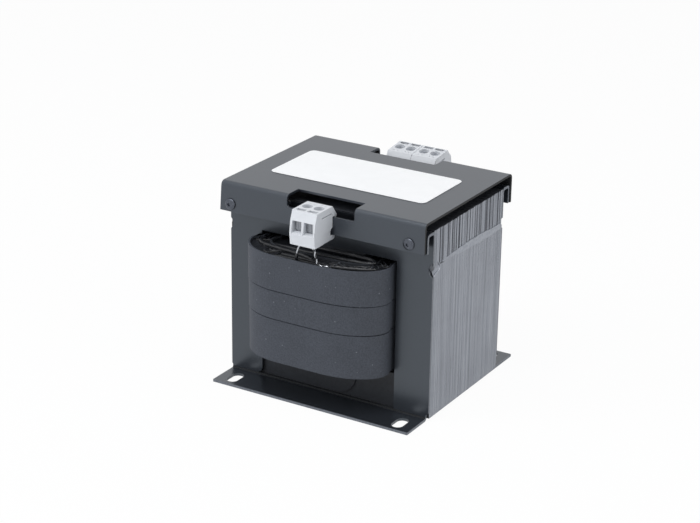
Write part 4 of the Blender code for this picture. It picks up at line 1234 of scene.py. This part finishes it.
class TRANSFORMER_OT_studio(bpy.types.Operator):
    """Set the pale floor, the soft lamps and the camera of the photograph"""

    bl_idname = "transformer.studio"
    bl_label = "Studio"

    def execute(self, context):
        deselect()
        # Just below the feet, so that the two never share a plane
        bpy.ops.mesh.primitive_plane_add(size=12, location=(0, 0, -0.0002))
        floor = named("studio_floor")
        floor.data.materials.append(floor_finish())
        set_world()
        # Name, place, width, height and watts of each soft box
        boxes = (
            ("key_box", (-1.15, -1.1, 0.72), 0.9, 0.8, 14.0),
            ("top_box", (0.1, -0.5, 1.5), 1.2, 1.0, 12.6),
            ("right_box", (1.4, 0.1, 0.6), 0.8, 0.8, 5.6),
        )
        for name, place, wide, high, watts in boxes:
            bpy.ops.object.light_add(type="AREA", location=place)
            lamp = named(name)
            lamp.data.shape = "RECTANGLE"
            lamp.data.size = wide
            lamp.data.size_y = high
            lamp.data.energy = watts
            # The key box lights without a glare on the cover when that is seen from behind
            lamp.visible_glossy = name != "key_box"
            aim = Vector((0, 0, 0.06)) - Vector(place)
            lamp.rotation_euler = aim.to_track_quat("-Z", "Y").to_euler()
        set_camera()
        context.scene.view_settings.view_transform = "Standard"
        return {"FINISHED"}


def direct_ray(tree):
    """1 for what the camera sees by itself, in a reflection or through glass, otherwise 0."""
    path = add(tree, "ShaderNodeLightPath")
    seen = path.outputs["Is Camera Ray"]
    for ray in ("Is Glossy Ray", "Is Transmission Ray"):
        seen = add(tree, "ShaderNodeMath", {0: seen, 1: path.outputs[ray]},
                   operation="MAXIMUM").outputs[0]
    return seen


def floor_finish():
    """Seamless white paper: plain white to the camera and in reflections, soft shadow kept."""
    material = bpy.data.materials.new("studio_paper")
    material.use_nodes = True
    tree = material.node_tree
    tree.nodes.clear()
    share = add(tree, "ShaderNodeMath", {0: direct_ray(tree), 1: 0.95}, operation="MULTIPLY")
    paper = add(tree, "ShaderNodeBsdfDiffuse", {"Color": linear("#f4f5f6")})
    glow = add(tree, "ShaderNodeEmission", {"Color": (1, 1, 1, 1), "Strength": 1.0})
    mixed = add(tree, "ShaderNodeMixShader", {
        0: share.outputs[0], 1: paper.outputs[0], 2: glow.outputs[0]})
    add(tree, "ShaderNodeOutputMaterial", {"Surface": mixed.outputs[0]})
    return material


def set_world():
    """White to the camera and in reflections, a softer and slightly cool grey as light."""
    world = bpy.data.worlds.new("studio_world")
    bpy.context.scene.world = world
    world.use_nodes = True
    tree = world.node_tree
    tree.nodes.clear()
    soft = add(tree, "ShaderNodeBackground", {"Color": linear("#eef1f6"), "Strength": 0.3})
    white = add(tree, "ShaderNodeBackground", {"Color": (1, 1, 1, 1), "Strength": 1.0})
    mixed = add(tree, "ShaderNodeMixShader", {
        0: direct_ray(tree), 1: soft.outputs[0], 2: white.outputs[0]})
    add(tree, "ShaderNodeOutputWorld", {"Surface": mixed.outputs[0]})


def set_camera():
    """The camera at the photograph's place and angle, fitted to the part's corners."""
    azimuth, elevation, roll = (math.radians(angle) for angle in (30.818, 21.407, 0.872))
    focus, picture_width, sensor = 1964.48, 700, 36
    right = Vector((math.cos(azimuth), math.sin(azimuth), 0))
    back = Vector((math.sin(azimuth) * math.cos(elevation),
                   -math.cos(azimuth) * math.cos(elevation), math.sin(elevation)))
    up = back.cross(right)
    side = right * math.cos(roll) + up * math.sin(roll)
    top = up * math.cos(roll) - right * math.sin(roll)
    bpy.ops.object.camera_add(location=(0.53864, -0.92168, 0.48701))
    camera = named("photo_camera")
    camera.rotation_mode = "QUATERNION"
    camera.rotation_quaternion = Matrix((side, top, back)).transposed().to_quaternion()
    camera.data.sensor_width = sensor
    camera.data.lens = focus * sensor / picture_width
    camera.data.clip_start = 0.01
    camera.data.clip_end = 50
    bpy.context.scene.camera = camera


PIECES = (
    TRANSFORMER_OT_core_sheets,
    TRANSFORMER_OT_weld_seams,
    TRANSFORMER_OT_foot_brackets,
    TRANSFORMER_OT_top_cover,
    TRANSFORMER_OT_rating_label,
    TRANSFORMER_OT_blind_rivets,
    TRANSFORMER_OT_coil_wrap,
    TRANSFORMER_OT_coil_turns,
    TRANSFORMER_OT_terminal_housings,
    TRANSFORMER_OT_clamps,
    TRANSFORMER_OT_terminal_leads,
    TRANSFORMER_OT_studio,
)


class TRANSFORMER_PT_sidebar(bpy.types.Panel):
    """Sizes, colours and pieces of the transformer"""

    bl_idname = "TRANSFORMER_PT_sidebar"
    bl_label = "Control Transformer"
    bl_space_type = "VIEW_3D"
    bl_region_type = "UI"
    bl_category = "Transformer"

    def draw(self, context):
        for group in (context.scene.transformer_sizes, context.scene.transformer_colours):
            box = self.layout.box()
            for name in group.__annotations__:
                box.prop(group, name)
        for piece in PIECES:
            self.layout.operator(piece.bl_idname)


CLASSES = (TransformerSizes, TransformerColours, *PIECES, TRANSFORMER_PT_sidebar)


def register():
    """Make the classes and the scene's settings known."""
    for item in CLASSES:
        bpy.utils.register_class(item)
    bpy.types.Scene.transformer_sizes = PointerProperty(type=TransformerSizes)
    bpy.types.Scene.transformer_colours = PointerProperty(type=TransformerColours)


def unregister():
    """Take them out again."""
    del bpy.types.Scene.transformer_colours
    del bpy.types.Scene.transformer_sizes
    for item in reversed(CLASSES):
        bpy.utils.unregister_class(item)


def main():
    """Build every piece in order."""
    register()
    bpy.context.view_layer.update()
    for piece in PIECES:
        group, name = piece.bl_idname.split(".")
        getattr(getattr(bpy.ops, group), name)()


if __name__ == "__main__":
    main()
